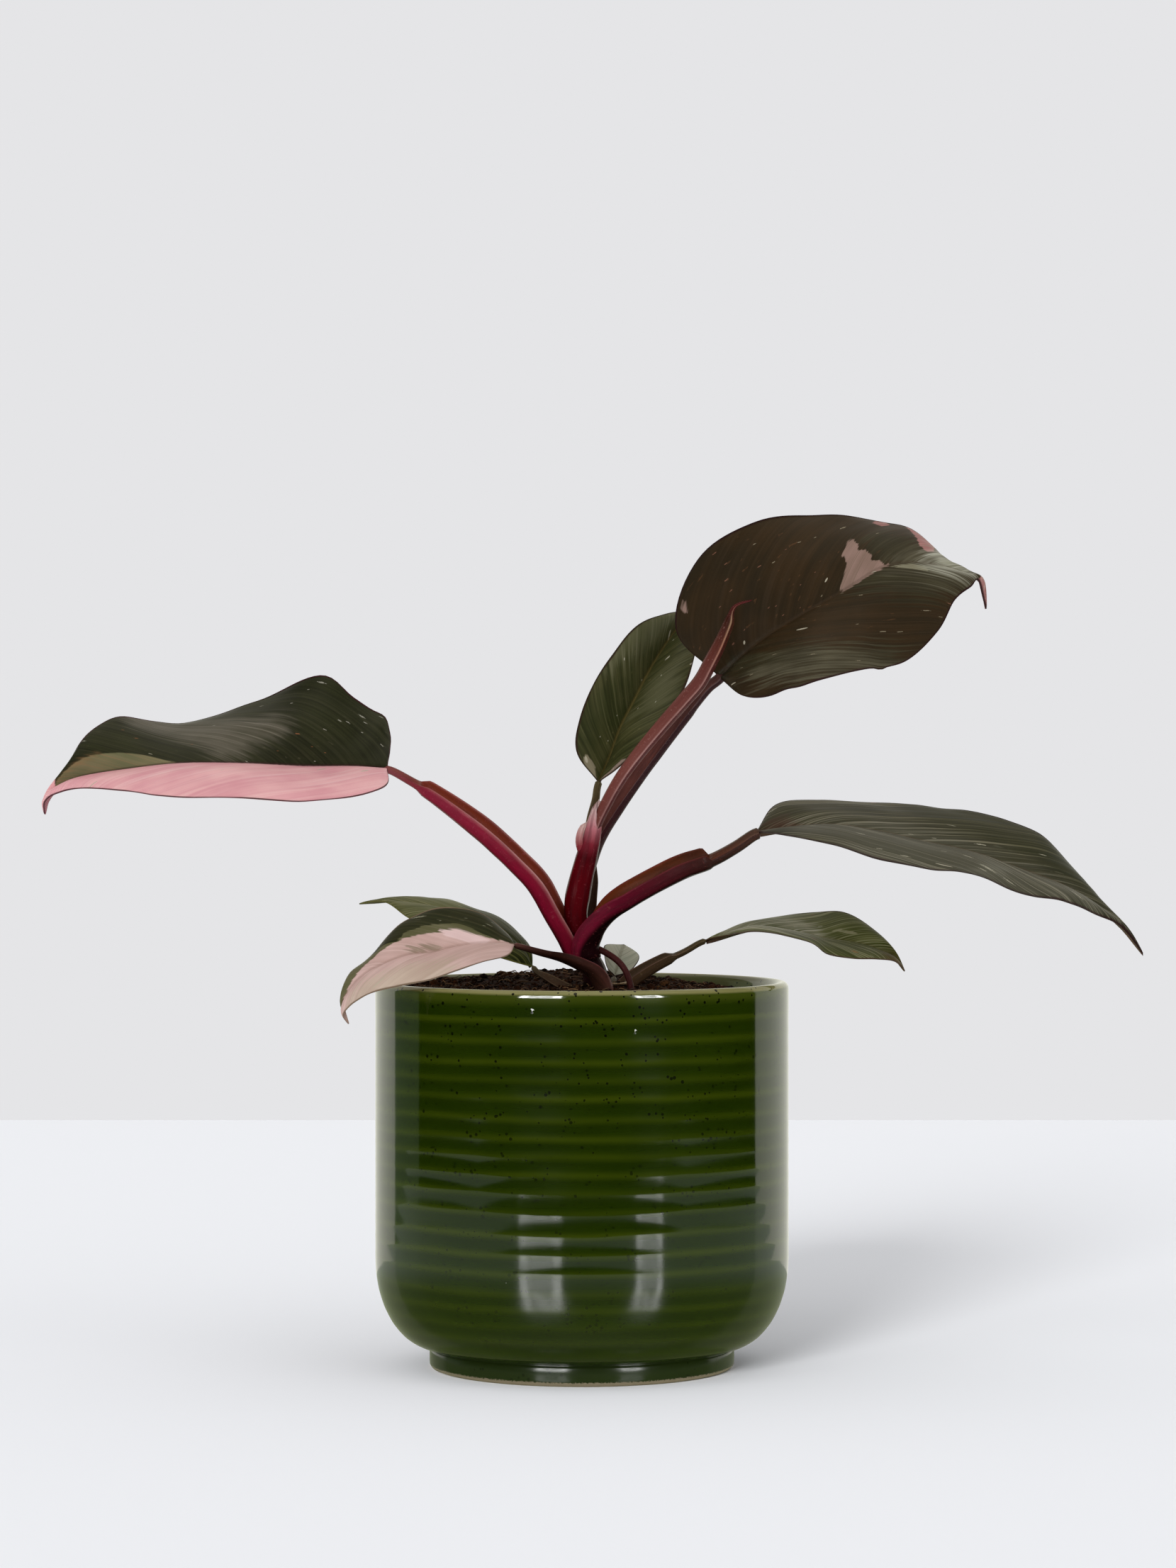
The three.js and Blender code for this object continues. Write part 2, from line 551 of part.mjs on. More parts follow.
function stemGeometry({ route, open, sections }, grow = 0) {
  const curve = new THREE.CatmullRomCurve3(route.map(vector));
  const [footSide, upperSide] = open.map(vector);
  const places = ringPlaces(sections, curve.getLength());
  const positions = [];
  const faces = [];
  let outline = [];
  places.forEach((at, ring) => {
    const forward = curve.getTangentAt(at);
    const openSide = footSide.clone().lerp(upperSide, Math.min(1, at / FOOT_SHARE));
    const up = openSide.clone().addScaledVector(forward, -openSide.dot(forward)).normalize();
    const side = up.clone().cross(forward);
    const centre = curve.getPointAt(at);
    if (ring === 0) {
      centre.addScaledVector(forward, -grow);
    } else if (ring === places.length - 1) {
      centre.addScaledVector(forward, grow);
    }
    outline = grownOutline(sectionOutline(sectionAt(sections, at)), grow);
    for (const { x, y } of outline) {
      const corner = centre.clone().addScaledVector(side, x).addScaledVector(up, y);
      positions.push(corner.x, corner.y, corner.z);
    }
  });
  const count = outline.length;
  for (let ring = 0; ring + 1 < places.length; ring += 1) {
    for (let i = 0; i < count; i += 1) {
      const a = ring * count + i;
      const b = ring * count + ((i + 1) % count);
      faces.push(a, b, b + count, a, b + count, a + count);
    }
  }
  const lastRing = (places.length - 1) * count;
  const firstOutline = sectionOutline(sectionAt(sections, 0));
  for (const [a, b, c] of THREE.ShapeUtils.triangulateShape(firstOutline, [])) {
    faces.push(a, c, b);
  }
  for (const [a, b, c] of THREE.ShapeUtils.triangulateShape(outline, [])) {
    faces.push(lastRing + a, lastRing + b, lastRing + c);
  }
  return closedGeometry(positions, faces);
}

// Blades

function bladeGuides({ base, tip, midrib, left, right }) {
  const guide = (points) => uniformCurve([base, ...points, tip]);
  return { midrib: guide(midrib), left: guide(left), right: guide(right) };
}

// A point of the blade's middle surface: along from base to tip, across from -1 at the left
// edge over 0 at the midrib to 1 at the right edge
function bladePoint(guides, crown, along, across) {
  const rib = guides.midrib.getPoint(along);
  const edge = (across < 0 ? guides.left : guides.right).getPoint(along);
  const span = guides.right.getPoint(along).sub(guides.left.getPoint(along));
  const bulge = span.cross(guides.midrib.getTangent(along)).normalize();
  const height = crown * Math.sin(Math.PI * Math.abs(across)) * Math.sqrt(Math.sin(Math.PI * along));
  return rib.lerp(edge, Math.abs(across)).addScaledVector(bulge, height);
}

function localNormal(guides, crown, along, across) {
  const step = 0.01;
  const sideStep = 0.05;
  const ahead = bladePoint(guides, crown, Math.min(1, along + step), across);
  const behind = bladePoint(guides, crown, Math.max(0, along - step), across);
  const right = bladePoint(guides, crown, along, Math.min(1, across + sideStep));
  const left = bladePoint(guides, crown, along, Math.max(-1, across - sideStep));
  return right.sub(left).cross(ahead.sub(behind)).normalize();
}

// Near the fold at the midrib, and so all over the narrow ends, both skins stand off along the
// midrib's own normal, which keeps them from crossing inside the fold
function bladeNormal(guides, crown, along, across) {
  const rib = guides.midrib.getPoint(along);
  const distance = bladePoint(guides, crown, along, across).distanceTo(rib);
  const share = THREE.MathUtils.smoothstep(distance, 0, FOLD_REACH);
  const ribNormal = localNormal(guides, crown, along, 0);
  return ribNormal.lerp(localNormal(guides, crown, along, across), share).normalize();
}

// Two skins on either side of the middle surface, split into triangles alike, and closed
// round the edge. The lower skin is pushed out at the midrib, which makes the keel.
function bladeGeometry(blade, grow = 0) {
  const guides = bladeGuides(blade);
  const columns = BLADE_COLUMNS.length;
  const positions = [];
  const lastRow = Math.max(FEWEST_BLADE_ROWS, Math.round(guides.midrib.getLength() / BLADE_ROW_STEP));
  for (let row = 0; row <= lastRow; row += 1) {
    const even = row / lastRow;
    const crowded = even - END_CROWDING * Math.sin(2 * Math.PI * even);
    const along = THREE.MathUtils.lerp(BLADE_START, BLADE_END, crowded);
    const keel = blade.keel * (1 - along) + LEAST_KEEL;
    for (const across of BLADE_COLUMNS) {
      const point = bladePoint(guides, blade.crown, along, across);
      const normal = bladeNormal(guides, blade.crown, along, across);
      if (row === 0) {
        point.addScaledVector(guides.midrib.getTangent(0), -grow);
      }
      if (Math.abs(across) === 1) {
        const outward = point.clone().sub(guides.midrib.getPoint(along)).normalize();
        point.addScaledVector(outward, grow);
      }
      const half = BLADE_THICKNESS / 2 + grow;
      const upper = point.clone().addScaledVector(normal, half);
      const lower = point.clone().addScaledVector(normal, -half - (across === 0 ? keel : 0));
      positions.push(upper.x, upper.y, upper.z, lower.x, lower.y, lower.z);
    }
  }
  const above = (row, column) => 2 * (row * columns + column);
  const below = (row, column) => above(row, column) + 1;
  const faces = [];
  const quad = (a, b, c, d) => faces.push(a, b, c, a, c, d);
  const lastColumn = columns - 1;
  for (let row = 0; row < lastRow; row += 1) {
    for (let column = 0; column < lastColumn; column += 1) {
      const next = column + 1;
      quad(above(row, column), above(row, next), above(row + 1, next), above(row + 1, column));
      faces.push(below(row, column), below(row + 1, next), below(row, next));
      faces.push(below(row, column), below(row + 1, column), below(row + 1, next));
    }
    const right = lastColumn;
    quad(above(row, 0), above(row + 1, 0), below(row + 1, 0), below(row, 0));
    quad(above(row, right), below(row, right), below(row + 1, right), above(row + 1, right));
  }
  for (let column = 0; column < lastColumn; column += 1) {
    const next = column + 1;
    quad(above(0, column), below(0, column), below(0, next), above(0, next));
    quad(above(lastRow, column), above(lastRow, next), below(lastRow, next), below(lastRow, column));
  }
  return closedGeometry(positions, faces);
}

// The petiole's route, led into the line of its own midrib up to the blade
function petioleToBlade({ petiole, blade }) {
  const midrib = bladeGuides(blade).midrib;
  const forward = midrib.getTangent(0);
  const end = midrib.getPoint(BLADE_START).addScaledVector(forward, -GAP);
  const neck = end.clone().addScaledVector(forward, -NECK_LENGTH);
  return { ...petiole, route: [...petiole.route, neck.toArray(), end.toArray()] };
}

// Assembly

const plant = new THREE.Group();

function addNode(name, geometry, colour, roughness, metalness = 0) {
  const material = new THREE.MeshStandardMaterial({ color: colour, roughness, metalness });
  const flat = geometry.toNonIndexed();
  flat.computeVertexNormals();
  const mesh = new THREE.Mesh(flat, material);
  mesh.name = name;
  plant.add(mesh);
}

// Stems are cut clear of those that were fitted before them, so their order matters
const fitted = [];

function addStem(name, stem, colour, neighbours = []) {
  const solid = clearOf(toSolid(stemGeometry(stem)), [...fitted, ...neighbours]);
  addNode(name, toGeometry(solid), colour, STEM_ROUGHNESS);
  fitted.push(toSolid(stemGeometry(stem, STEM_CLEARANCE)));
}

function addLeaf(name) {
  const { colours, blade } = LEAVES[name];
  const grownBlade = toSolid(bladeGeometry(blade, GAP));
  addStem(`${name}_petiole`, petioleToBlade(LEAVES[name]), colours.petiole, [grownBlade]);
  addNode(`${name}_blade`, bladeGeometry(blade), colours.blade, BLADE_ROUGHNESS);
}

addStem('main_stem', MAIN_STEM, MAIN_STEM.colour);
for (const name of ['right', 'left', 'low_left', 'top']) {
  addLeaf(name);
}
addStem('new_leaf', NEW_LEAF, NEW_LEAF.colour);
for (const name of ['back', 'low_right', 'low_back', 'small']) {
  addLeaf(name);
}
addStem('aerial_root', AERIAL_ROOT, AERIAL_ROOT.colour);
addStem('cataphyll', CATAPHYLL, CATAPHYLL.colour);

addNode('pot', potGeometry(), GLAZE_GREEN, GLAZE_ROUGHNESS);
addNode('soil', toGeometry(clearOf(toSolid(soilGeometry()), fitted)), SOIL_BROWN, SOIL_ROUGHNESS);

export default plant;
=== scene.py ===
import math

import bpy
import numpy as np
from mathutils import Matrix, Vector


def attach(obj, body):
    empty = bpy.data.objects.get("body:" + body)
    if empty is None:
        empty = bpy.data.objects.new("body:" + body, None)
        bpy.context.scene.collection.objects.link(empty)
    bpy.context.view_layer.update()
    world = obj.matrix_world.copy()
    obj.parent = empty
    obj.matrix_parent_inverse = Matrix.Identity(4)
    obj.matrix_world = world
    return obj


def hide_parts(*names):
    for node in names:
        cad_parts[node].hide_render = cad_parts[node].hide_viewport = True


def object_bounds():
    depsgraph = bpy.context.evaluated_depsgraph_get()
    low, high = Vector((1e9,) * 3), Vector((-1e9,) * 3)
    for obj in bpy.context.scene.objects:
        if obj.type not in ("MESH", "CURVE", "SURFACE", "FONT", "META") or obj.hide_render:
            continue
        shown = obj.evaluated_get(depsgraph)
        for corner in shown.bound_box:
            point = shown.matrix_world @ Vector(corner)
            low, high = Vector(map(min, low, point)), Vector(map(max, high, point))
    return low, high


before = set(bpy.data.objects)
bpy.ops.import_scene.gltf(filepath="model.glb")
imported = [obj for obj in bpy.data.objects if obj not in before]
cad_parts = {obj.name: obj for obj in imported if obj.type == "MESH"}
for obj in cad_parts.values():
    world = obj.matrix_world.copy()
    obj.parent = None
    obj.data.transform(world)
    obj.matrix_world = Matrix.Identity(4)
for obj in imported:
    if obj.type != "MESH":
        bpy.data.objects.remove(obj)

CAD_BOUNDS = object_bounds()
MM = 0.001
ROOT = "root"

# Camera and floor, measured from the photograph's frame of 1659 by 2212 pixels
PHOTO_HEIGHT = 2212
FOCAL_PIXELS = 5940
SENSOR = 36
CAMERA_PLACE = (0.0022, -1.530, 0.2115)
FLOOR_BACK = 1.12
FLOOR_REACH = 4.0

# Pot
POT_RADIUS = 75
POT_WALL = 5
POT_SIDES = 240
CORNER_STEPS = 46
INNER_STEPS = 12
INNER_HEIGHTS = (132, 120, 105, 90, 70, 55)
INNER_FLOOR_RADIUS = 52
FOOT_RADIUS = 55
FOOT_HEIGHT = 8
CORNER_RISE = 32
RIB_CRESTS = [11.9, 17.2, 22.8, 28.8, 34.6, 41.5, 48.1, 55.2, 62.8, 69.7, 76, 82.4, 88.5, 95.2, 102.5,
              108.9, 115, 122.3, 129.7]
SCALLOP_DEPTH = 0.045
CREST_SPREAD = 1.3
SHADE_DROP = 2
RIB_WOBBLE = 0.35
STEEPEST_RIB = 6
WALL_STEP = 0.55
FOOT_RING = [(53.2, 0), (54.6, 0.5), (55.2, 1.4), (55.3, 2.6), (55.3, 6.2), (55.0, 7.2), (54.4, 7.8)]
RIM_BAND = [(75, 131), (75, 133), (75, 135), (75, 137.3), (74.975, 137.75), (74.92, 138.1), (74.81, 138.45),
            (74.62, 138.8), (74.35, 139.15), (74, 139.5), (73.6, 139.75), (73.1, 139.92), (72.3, 139.9),
            (71.3, 139.4), (70.6, 138.5), (70.2, 137.4)]

# Soil
SOIL_LEVEL = 136.5
SOIL_TILT = -0.02
MOUND = {"x": -2, "y": 36, "height": 5.2, "spread_x": 26, "spread_y": 22}
SOIL_GAP = 0.3
SOIL_RINGS = 84
SOIL_SIDES = 260
SOIL_UNDER_RINGS = 14
CRUMBS = 4200
FIBRES = 240
CRUMB_MARGIN, FIBRE_MARGIN = 1.5, 9
CRUMB_LEAST, CRUMB_SPREAD = 0.28, 0.6
LUMP_EXTRA, LUMPS_FROM = 1.1, 0.985

# Blades and stems
BLADE_THICKNESS = 0.5
BLADE_STEP = 1.25
HALF_COLUMNS = 34
BLADE_START = 0.006
BLADE_END = 0.997
LEAST_KEEL = 0.2
STEM_STEP = 1.3
BACK_FACETS = 6
SHEATH_WALL = 0.9
FOOT_SHARE = 0.35
OUTLINE_SPLIT = 4
STEM_END = 1.2
STEM_ROUGH = 0.018
SEAM_PLACE, SEAM_TWIST = 0.62, 0.25
FOLD_REACH = 9
FRILL = 0.45
GROOVE_WIDTH = 0.9
EDGE_TAPER = 2.5
MOST_MARKS = 6
FAR_OUTSIDE = -20.0
PETIOLE_SLOTS = {"left": "stem_magenta", "right": "stem_magenta", "top": "stem_purple"}

# Curves and noise
ROUTE_SAMPLES = 600
SPAN_SAMPLES = 40
NOISE_SIZE = 64

# Gloss, and the depths in metres of the fine relief that only the shading shows
GLAZE_IOR, LEAF_IOR = 1.5, 1.42
BEAD_RADIUS = 0.001
GRAIN = {"glaze": 0.00012, "bead": 0.00014, "soil": 0.0006, "fibre": 0.0001, "scale": 0.00015,
         "blade": 0.00009, "stem": 0.00015}

LEAVES = {
    "left": {
        "petiole": {
            "route": [(1, 0.5, 146.5), (-2.8, 0, 150.5), (-5.5, -1, 156), (-10, -2, 164),
                      (-16.5, -4, 175.5), (-24.5, -6, 184), (-33.5, -8, 192.5), (-43.5, -10, 200.5),
                      (-54, -11, 208), (-63, -12, 213.5)],
            "open": [(0.8, -0.1, 0.3), (0.6, -0.36, 0.7)],
            "sections": [(0, 4.2, 3.6, 3, 3.4), (0.3, 4.7, 4, 3.8, 4.6), (0.62, 4.4, 3.8, 3.6, 4.4),
                         (0.83, 3.4, 2.8, 2.6, 3), (0.87, 1.9, 1.9, 0.8, -0.4), (1, 1.5, 1.5, 0.5, -0.8)],
        },
        "base": (-70, -12, 217),
        "tip": (-192.5, -20.5, 200.5),
        "midrib": [(-82, -13, 218), (-100, -15, 218), (-122, -17, 219), (-144, -18, 219), (-162, -19, 217),
                   (-179, -20, 214), (-187.5, -21, 210), (-191.5, -21, 205.5)],
        "left": [(-71, -34, 210), (-94, -48, 206), (-119, -53, 207), (-141, -50, 207), (-160, -44, 209),
                 (-177, -34, 210), (-187, -27, 208), (-191.5, -23, 205)],
        "right": [(-72, 4, 235), (-92, 1, 251), (-119, 13, 242), (-147, 12, 234), (-168, -2, 235),
                  (-180, -15, 228), (-187, -19, 215), (-191.5, -19, 206.5)],
        "nudges": {"right": [(0.185, 0.028, (0, 0, -3.4)), (0.15, 0.022, (0, 0, -1.6)),
                             (0.11, 0.02, (0.6, 0, 1)), (0.07, 0.02, (0.6, 0, -0.6)),
                             (0.035, 0.02, (0.5, 0, 0)),
                             (0.7, 0.05, (0, 0, -2)), (0.57, 0.04, (0, 0, 0.8))]},
        "crown": 2.2,
        "keel": 1.6,
    },
    "top": {
        "petiole": {
            "route": [(-1, 4, 152.5), (-2, 4, 161.5), (-1.5, 4, 172), (1.5, 4, 181.5), (5.5, 4, 192),
                      (12, 4, 202.5), (20.5, 4, 214.5), (29.5, 3, 226.5), (38.5, 1, 238), (46, -1, 247)],
            "open": [(-0.1, -1, 0.1), (-0.6, -0.6, 0.5)],
            "sections": [(0, 3.4, 2.6, 1.2, 0.2), (0.18, 3.8, 3, 2, 1.8), (0.36, 4, 3, 2.4, 3),
                         (0.6, 3.2, 2.7, 1.6, 2), (0.83, 2.8, 2.5, 1.4, 1.2), (0.87, 2.4, 2.3, 0.8, -0.8),
                         (1, 2.1, 2.1, 0.6, -1.2)],
        },
        "base": (50, -2, 250),
        "tip": (145, -19, 274),
        "midrib": [(57, -6, 257), (67, -10, 265), (80, -14, 273), (94, -17, 281), (107, -20, 289),
                   (117, -21, 291), (128, -21, 290), (137, -20, 287), (143, -19, 284)],
        "left": [(35, 5, 268), (44, -1, 294), (64, -3, 307), (86, 4, 310), (105, 5, 308), (117, 0, 303),
                 (128, -7, 296), (137, -14, 288), (143, -17, 285)],
        "right": [(58, -21, 243), (70, -32, 243), (84, -38, 248), (100, -37, 252), (115, -31, 255),
                  (127, -29, 266), (133, -28, 277), (139, -24, 282), (142, -21, 284)],
        "nudges": {"left": [(0.15, 0.08, (-1, 0, 0.6)), (0.62, 0.06, (0, 0, 2.2)), 
                            (0.74, 0.035, (0, 0, -1.6)), (0.85, 0.04, (0, 0, -1.4))],
                   "right": [(0.22, 0.03, (0, 0, 1.3)), (0.44, 0.012, (0, 0, -0.8))]},
        "crown": 2.6,
        "keel": 1.8,
    },
    "right": {
        "petiole": {
            "route": [(2.2, -4, 147), (1.8, -4, 154), (4.2, -5, 160), (9, -6, 165.5), (16.5, -7, 170.5),
                      (26.5, -8, 176), (37, -8, 181), (47, -8, 184.5), (55.5, -7, 189)],
            "open": [(-0.3, 0.5, 0.6), (-0.45, -0.4, 0.8)],
            "sections": [(0, 5, 4, 2.2, -0.6), (0.12, 5.4, 4.8, 2.8, 1), (0.3, 4.8, 4.2, 3.8, 4.4),
                         (0.6, 4.2, 3.8, 4.2, 4.8), (0.73, 3.8, 3.5, 4, 4.2), (0.75, 2.9, 3, 0.8, -0.8),
                         (1, 2.4, 2.4, 0.6, -1.1)],
        },
        "base": (63, -6, 194),
        "tip": (204, -2, 149),
        "midrib": [(76, -7, 196), (90, -8, 197), (105, -8, 195), (123, -8, 191), (141, -7, 187),
                   (158, -6, 181), (174, -5, 175), (187, -4, 167), (196, -3, 159)],
        "left": [(71, 9, 204), (88, 17, 205), (109, 21, 204), (129, 22, 203), (149, 21, 200), (166, 17, 194),
                 (179, 12, 182), (189, 6, 169), (198, 0, 159)],
        "right": [(74, -24, 193), (90, -33, 190), (105, -37, 185), (122, -40, 182), (140, -38, 179),
                  (158, -31, 172), (173, -23, 169), (186, -13, 164), (196, -6, 159)],
        "nudges": {"left": [(0.63, 0.05, (0, 0, 1.3))]},
        "crown": 2,
        "keel": 1.6,
    },
    "back": {
        "petiole": {
            "route": [(2, 8, 156), (2, 10, 166.5), (2.5, 11, 176.5), (2.5, 12, 187),
                      (3, 13, 197.5), (5, 13.5, 206)],
            "open": [(0.3, -0.9, 0.2), (0.3, -0.9, 0.2)],
            "sections": [(0, 3, 2.4, 1.6, 1.6), (0.35, 3.2, 2, 1.6, 1.8), (0.6, 1.8, 1.6, 0.6, -0.4),
                         (1, 1.3, 1.3, 0.4, -0.7)],
        },
        "base": (6, 14, 212),
        "tip": (51, 66, 277),
        "midrib": [(10, 17, 221), (14, 21, 232), (19, 26, 242), (24, 32, 252), (30, 39, 262), (36, 47, 270),
                   (44, 56, 275)],
        "left": [(-2, 12, 223), (-1, 14, 235), (4, 18, 248), (11, 23, 259), (20, 30, 270), (31, 41, 275),
                 (41.5, 54.5, 277)],
        "right": [(15, 6, 219), (24, 8, 228), (33, 15, 238), (39, 23, 250), (42, 30, 260), (44.5, 41, 268),
                  (47.5, 54, 273)],
        "crown": 1.6,
        "keel": 1.4,
    },
    "low_right": {
        "petiole": {
            "route": [(13, 5, 125), (13.5, 5.5, 133.5), (16.5, 7, 138.5), (22, 9, 142.5), (29.5, 12, 146.5),
                      (37.5, 14.5, 150)],
            "open": [(-0.5, -0.2, 0.8), (-0.3, -0.3, 0.9)],
            "sections": [(0, 3.2, 2.8, 1.8, -0.4), (0.35, 3.2, 2.8, 2.2, 1.8), (0.66, 2.6, 2.2, 2, 1.6),
                         (0.74, 1.5, 1.3, 0.5, -0.6), (1, 1.2, 1.2, 0.4, -0.6)],
        },
        "base": (45, 16, 154),
        "tip": (118, 8, 143),
        "midrib": [(52, 16, 156), (59, 15, 158), (66, 14, 159), (81, 12, 157), (89, 11, 155), (98, 10, 154),
                   (106, 9, 152), (114, 8, 148)],
        "left": [(52, 20, 157), (59, 23, 160), (65, 26, 161), (79, 29, 163), (87, 27, 164), (96, 22, 164),
                 (105, 17, 160), (113, 11, 152)],
        "right": [(54, 12, 156), (57, 7, 157), (65, 2, 158), (82, -6, 154), (89, -7, 150), (98, -5, 148),
                  (107, -2, 148), (114, 3, 147)],
        "crown": 1.2,
        "keel": 1.2,
    },
    "low_left": {
        "petiole": {
            "route": [(8.5, -5.2, 125), (8.5, -5.8, 133), (7.5, -7.2, 138.5), (4.5, -9.2, 143.5),
                      (-0.5, -12, 146.5), (-6.5, -15, 149), (-14, -20, 151)],
            "open": [(0.1, 0.6, 0.6), (0.1, 0.3, 0.9)],
            "sections": [(0, 3.2, 2.6, 1.4, -0.4), (0.3, 3.4, 3, 1.6, 0.6), (0.5, 3, 2.2, 1.4, 1),
                         (0.72, 1.8, 1.5, 0.8, 0.3), (1, 1.2, 1.2, 0.4, -0.6)],
        },
        "base": (-24, -26, 154),
        "tip": (-82, -49, 127),
        "midrib": [(-29, -28, 155), (-36, -31, 155), (-44, -34, 154), (-53, -37, 152), (-62, -40, 151),
                   (-70, -43, 148), (-76, -46, 145), (-81, -48, 140), (-84, -49, 134)],
        "left": [(-26, -37, 151), (-35, -46, 149), (-44, -51, 146), (-53, -54, 143), (-62, -54, 141),
                 (-70, -54, 139), (-76, -54, 137), (-81, -52, 134), (-84, -50, 130)],
        "right": [(-27, -18, 158), (-34, -17, 164), (-44, -20, 167), (-53, -24, 167), (-62, -27, 163),
                  (-69, -31, 157), (-76, -36, 149), (-82, -42, 144), (-85, -47, 136)],
        "crown": 1.4,
        "keel": 1.2,
    },
    "low_back": {
        "petiole": {
            "route": [(-1, 3.5, 124), (-1, 2.5, 131), (-4, 1, 136), (-8.5, 0, 138.8), (-13, -0.5, 141.4)],
            "open": [(0.3, -0.9, 0.4), (0.3, -0.8, 0.5)],
            "sections": [(0, 2, 1.5, 0.8, -0.4), (0.45, 2, 1.4, 0.9, 0.6), (0.72, 1.7, 1.3, 0.6, 0.3),
                         (0.86, 1.1, 1.1, 0.4, -0.5), (1, 1, 1, 0.4, -0.5)],
        },
        "base": (-18, 0, 145),
        "tip": (-83, 34, 167),
        "midrib": [(-20, 3, 150), (-25, 7, 155), (-31, 11, 159), (-39, 15, 163), (-47, 19, 165),
                   (-57, 23, 167), (-66, 27, 168), (-73, 30, 168)],
        "left": [(-25, -3, 147), (-31, -3, 149), (-38, -2, 152), (-46, 1, 156), (-53, 5, 158), (-59, 10, 160),
                 (-65, 17, 163), (-73, 26, 168)],
        "right": [(-19, 11, 152), (-24, 20, 157), (-31, 27, 162), (-40, 32, 165), (-48, 36, 168),
                  (-58, 38, 169), (-66, 38, 169), (-74, 34, 169)],
        "crown": 1.2,
        "keel": 1.1,
    },
    "small": {
        "petiole": {
            "route": [(9, 10.5, 124), (9.5, 10.5, 131), (10.5, 11, 136.5)],
            "open": [(0, -0.9, 0.3), (0, -0.9, 0.3)],
            "sections": [(0, 1.5, 1.3, 0.5, -0.6), (1, 1.1, 1.1, 0.4, -0.6)],
        },
        "base": (12, 13, 141),
        "tip": (15.5, 26, 152.2),
        "midrib": [(12.8, 15, 144), (13.6, 18, 147.2), (14.6, 22, 150.2)],
        "left": [(9.2, 14, 144), (8.2, 17, 148.6), (8.6, 22, 152.2)],
        "right": [(15.8, 13, 142), (19.2, 16, 144.4), (21, 21, 148.4)],
        "crown": 0.3,
        "keel": 0.8,
    },
}

MAIN_STEM = {
    "route": [(5, 4, 115), (5.5, 3, 135.5), (4.5, 2.5, 143.5), (1.5, 2.5, 150), (-0.5, 3, 155)],
    "open": [(1, 0, 0), (1, 0, 0)],
    "sections": [(0, 5.5, 5.5, 1.6, -3.6), (0.7, 4.6, 4.6, 1.4, -3), (1, 3, 3, 1, -2)],
}
NEW_LEAF = {
    "route": [(1, -0.5, 176), (2.5, -1.5, 186), (4.5, -2.5, 195), (9, -3, 205), (14.5, -3.5, 214.5),
              (22, -4, 224.5), (30, -5, 234), (37, -7, 242), (42.5, -9, 248.5), (46, -11, 255),
              (49.8, -12, 262.5), (52.6, -13, 269), (55, -13.5, 275.4), (61.5, -14, 277.8)],
    "open": [(-0.6, -0.6, 0.3), (-0.6, -0.6, 0.3)],
    "sections": [(0, 1.6, 1.6, 0.5, -1), (0.25, 2.5, 2.3, 0.7, -1.4), (0.55, 2.9, 2.5, 0.8, -1.5),
                 (0.7, 3.1, 2.6, 0.8, -1.6), (0.8, 2.8, 2.4, 0.7, -1.5), (0.89, 2.2, 2, 0.6, -1.2),
                 (0.93, 0.9, 0.9, 0.3, -0.5), (0.96, 0.5, 0.5, 0.2, -0.25), (1, 0.3, 0.3, 0.1, -0.15)],
}
CATAPHYLL = {
    "route": [(-1, -1, 156), (-2.2, -1.5, 165.5), (-0.6, -1.5, 175.5), (1.6, -2, 184.5), (3.8, -2.6, 193.5),
              (5.4, -3.2, 203)],
    "open": [(0, 1, 0), (0, 1, 0)],
    "sections": [(0, 3.6, 3, 0.8, 0.6), (0.3, 4.6, 3.4, 1.4, 3.6), (0.6, 4, 2.9, 1, 2.9),
                 (0.85, 3, 2.3, 0.6, 1.4), (1, 1.5, 1.4, 0.4, 0.1)],
}
SHEATH_FLAP = {
    "route": [(1.2, -2.4, 184), (-0.6, -3.2, 188), (-1, -3.8, 192), (0, -4, 195.5), (1, -3.8, 197)],
    "open": [(0.3, 1, 0), (0.3, 1, 0)],
    "sections": [(0, 1.2, 0.7, 0.2, -0.3), (0.5, 1.4, 0.7, 0.2, -0.3), (0.85, 1.2, 0.6, 0.2, -0.3),
                 (1, 0.6, 0.4, 0.1, -0.2)],
}
AERIAL_ROOT = {
    "route": [(4, -2, 152.5), (8.5, -4, 150.5), (13, -6.5, 147.5), (15.5, -7.5, 144.5), (17, -8, 141),
              (18, -8, 136), (18, -8, 129)],
    "open": [(0.5, -0.7, 0.4), (0.5, -0.7, 0.4)],
    "sections": [(0, 1.3, 1.3, 0.4, -0.8), (1, 1.1, 1.1, 0.35, -0.7)],
}


# Numbers: small helpers on arrays of points

def unit(vectors):
    lengths = np.linalg.norm(vectors, axis=-1, keepdims=True)
    return vectors / np.maximum(lengths, 1e-12)


def smoothstep(low, high, value):
    share = np.clip((np.asarray(value, float) - low) / (high - low), 0, 1)
    return share * share * (3 - 2 * share)


def value_noise(x, y, seed):
    """Smooth noise from -1 to 1, with a new value at each whole number"""
    table = np.random.default_rng(seed).uniform(-1, 1, (NOISE_SIZE, NOISE_SIZE))
    column, row = np.floor(x).astype(int), np.floor(y).astype(int)
    along, up = smoothstep(0, 1, x - column), smoothstep(0, 1, y - row)

    def corner(i, j):
        return table[(column + i) % NOISE_SIZE, (row + j) % NOISE_SIZE]

    low = corner(0, 0) * (1 - along) + corner(1, 0) * along
    high = corner(0, 1) * (1 - along) + corner(1, 1) * along
    return low * (1 - up) + high * up


def layered_noise(x, y, seed, layers):
    """Noise in layers, each twice as fine and half as strong as the last"""
    total = np.zeros(np.broadcast(x, y).shape)
    for layer in range(layers):
        scale = 2 ** layer
        total += value_noise(x * scale, y * scale, seed + layer) / scale
    return total


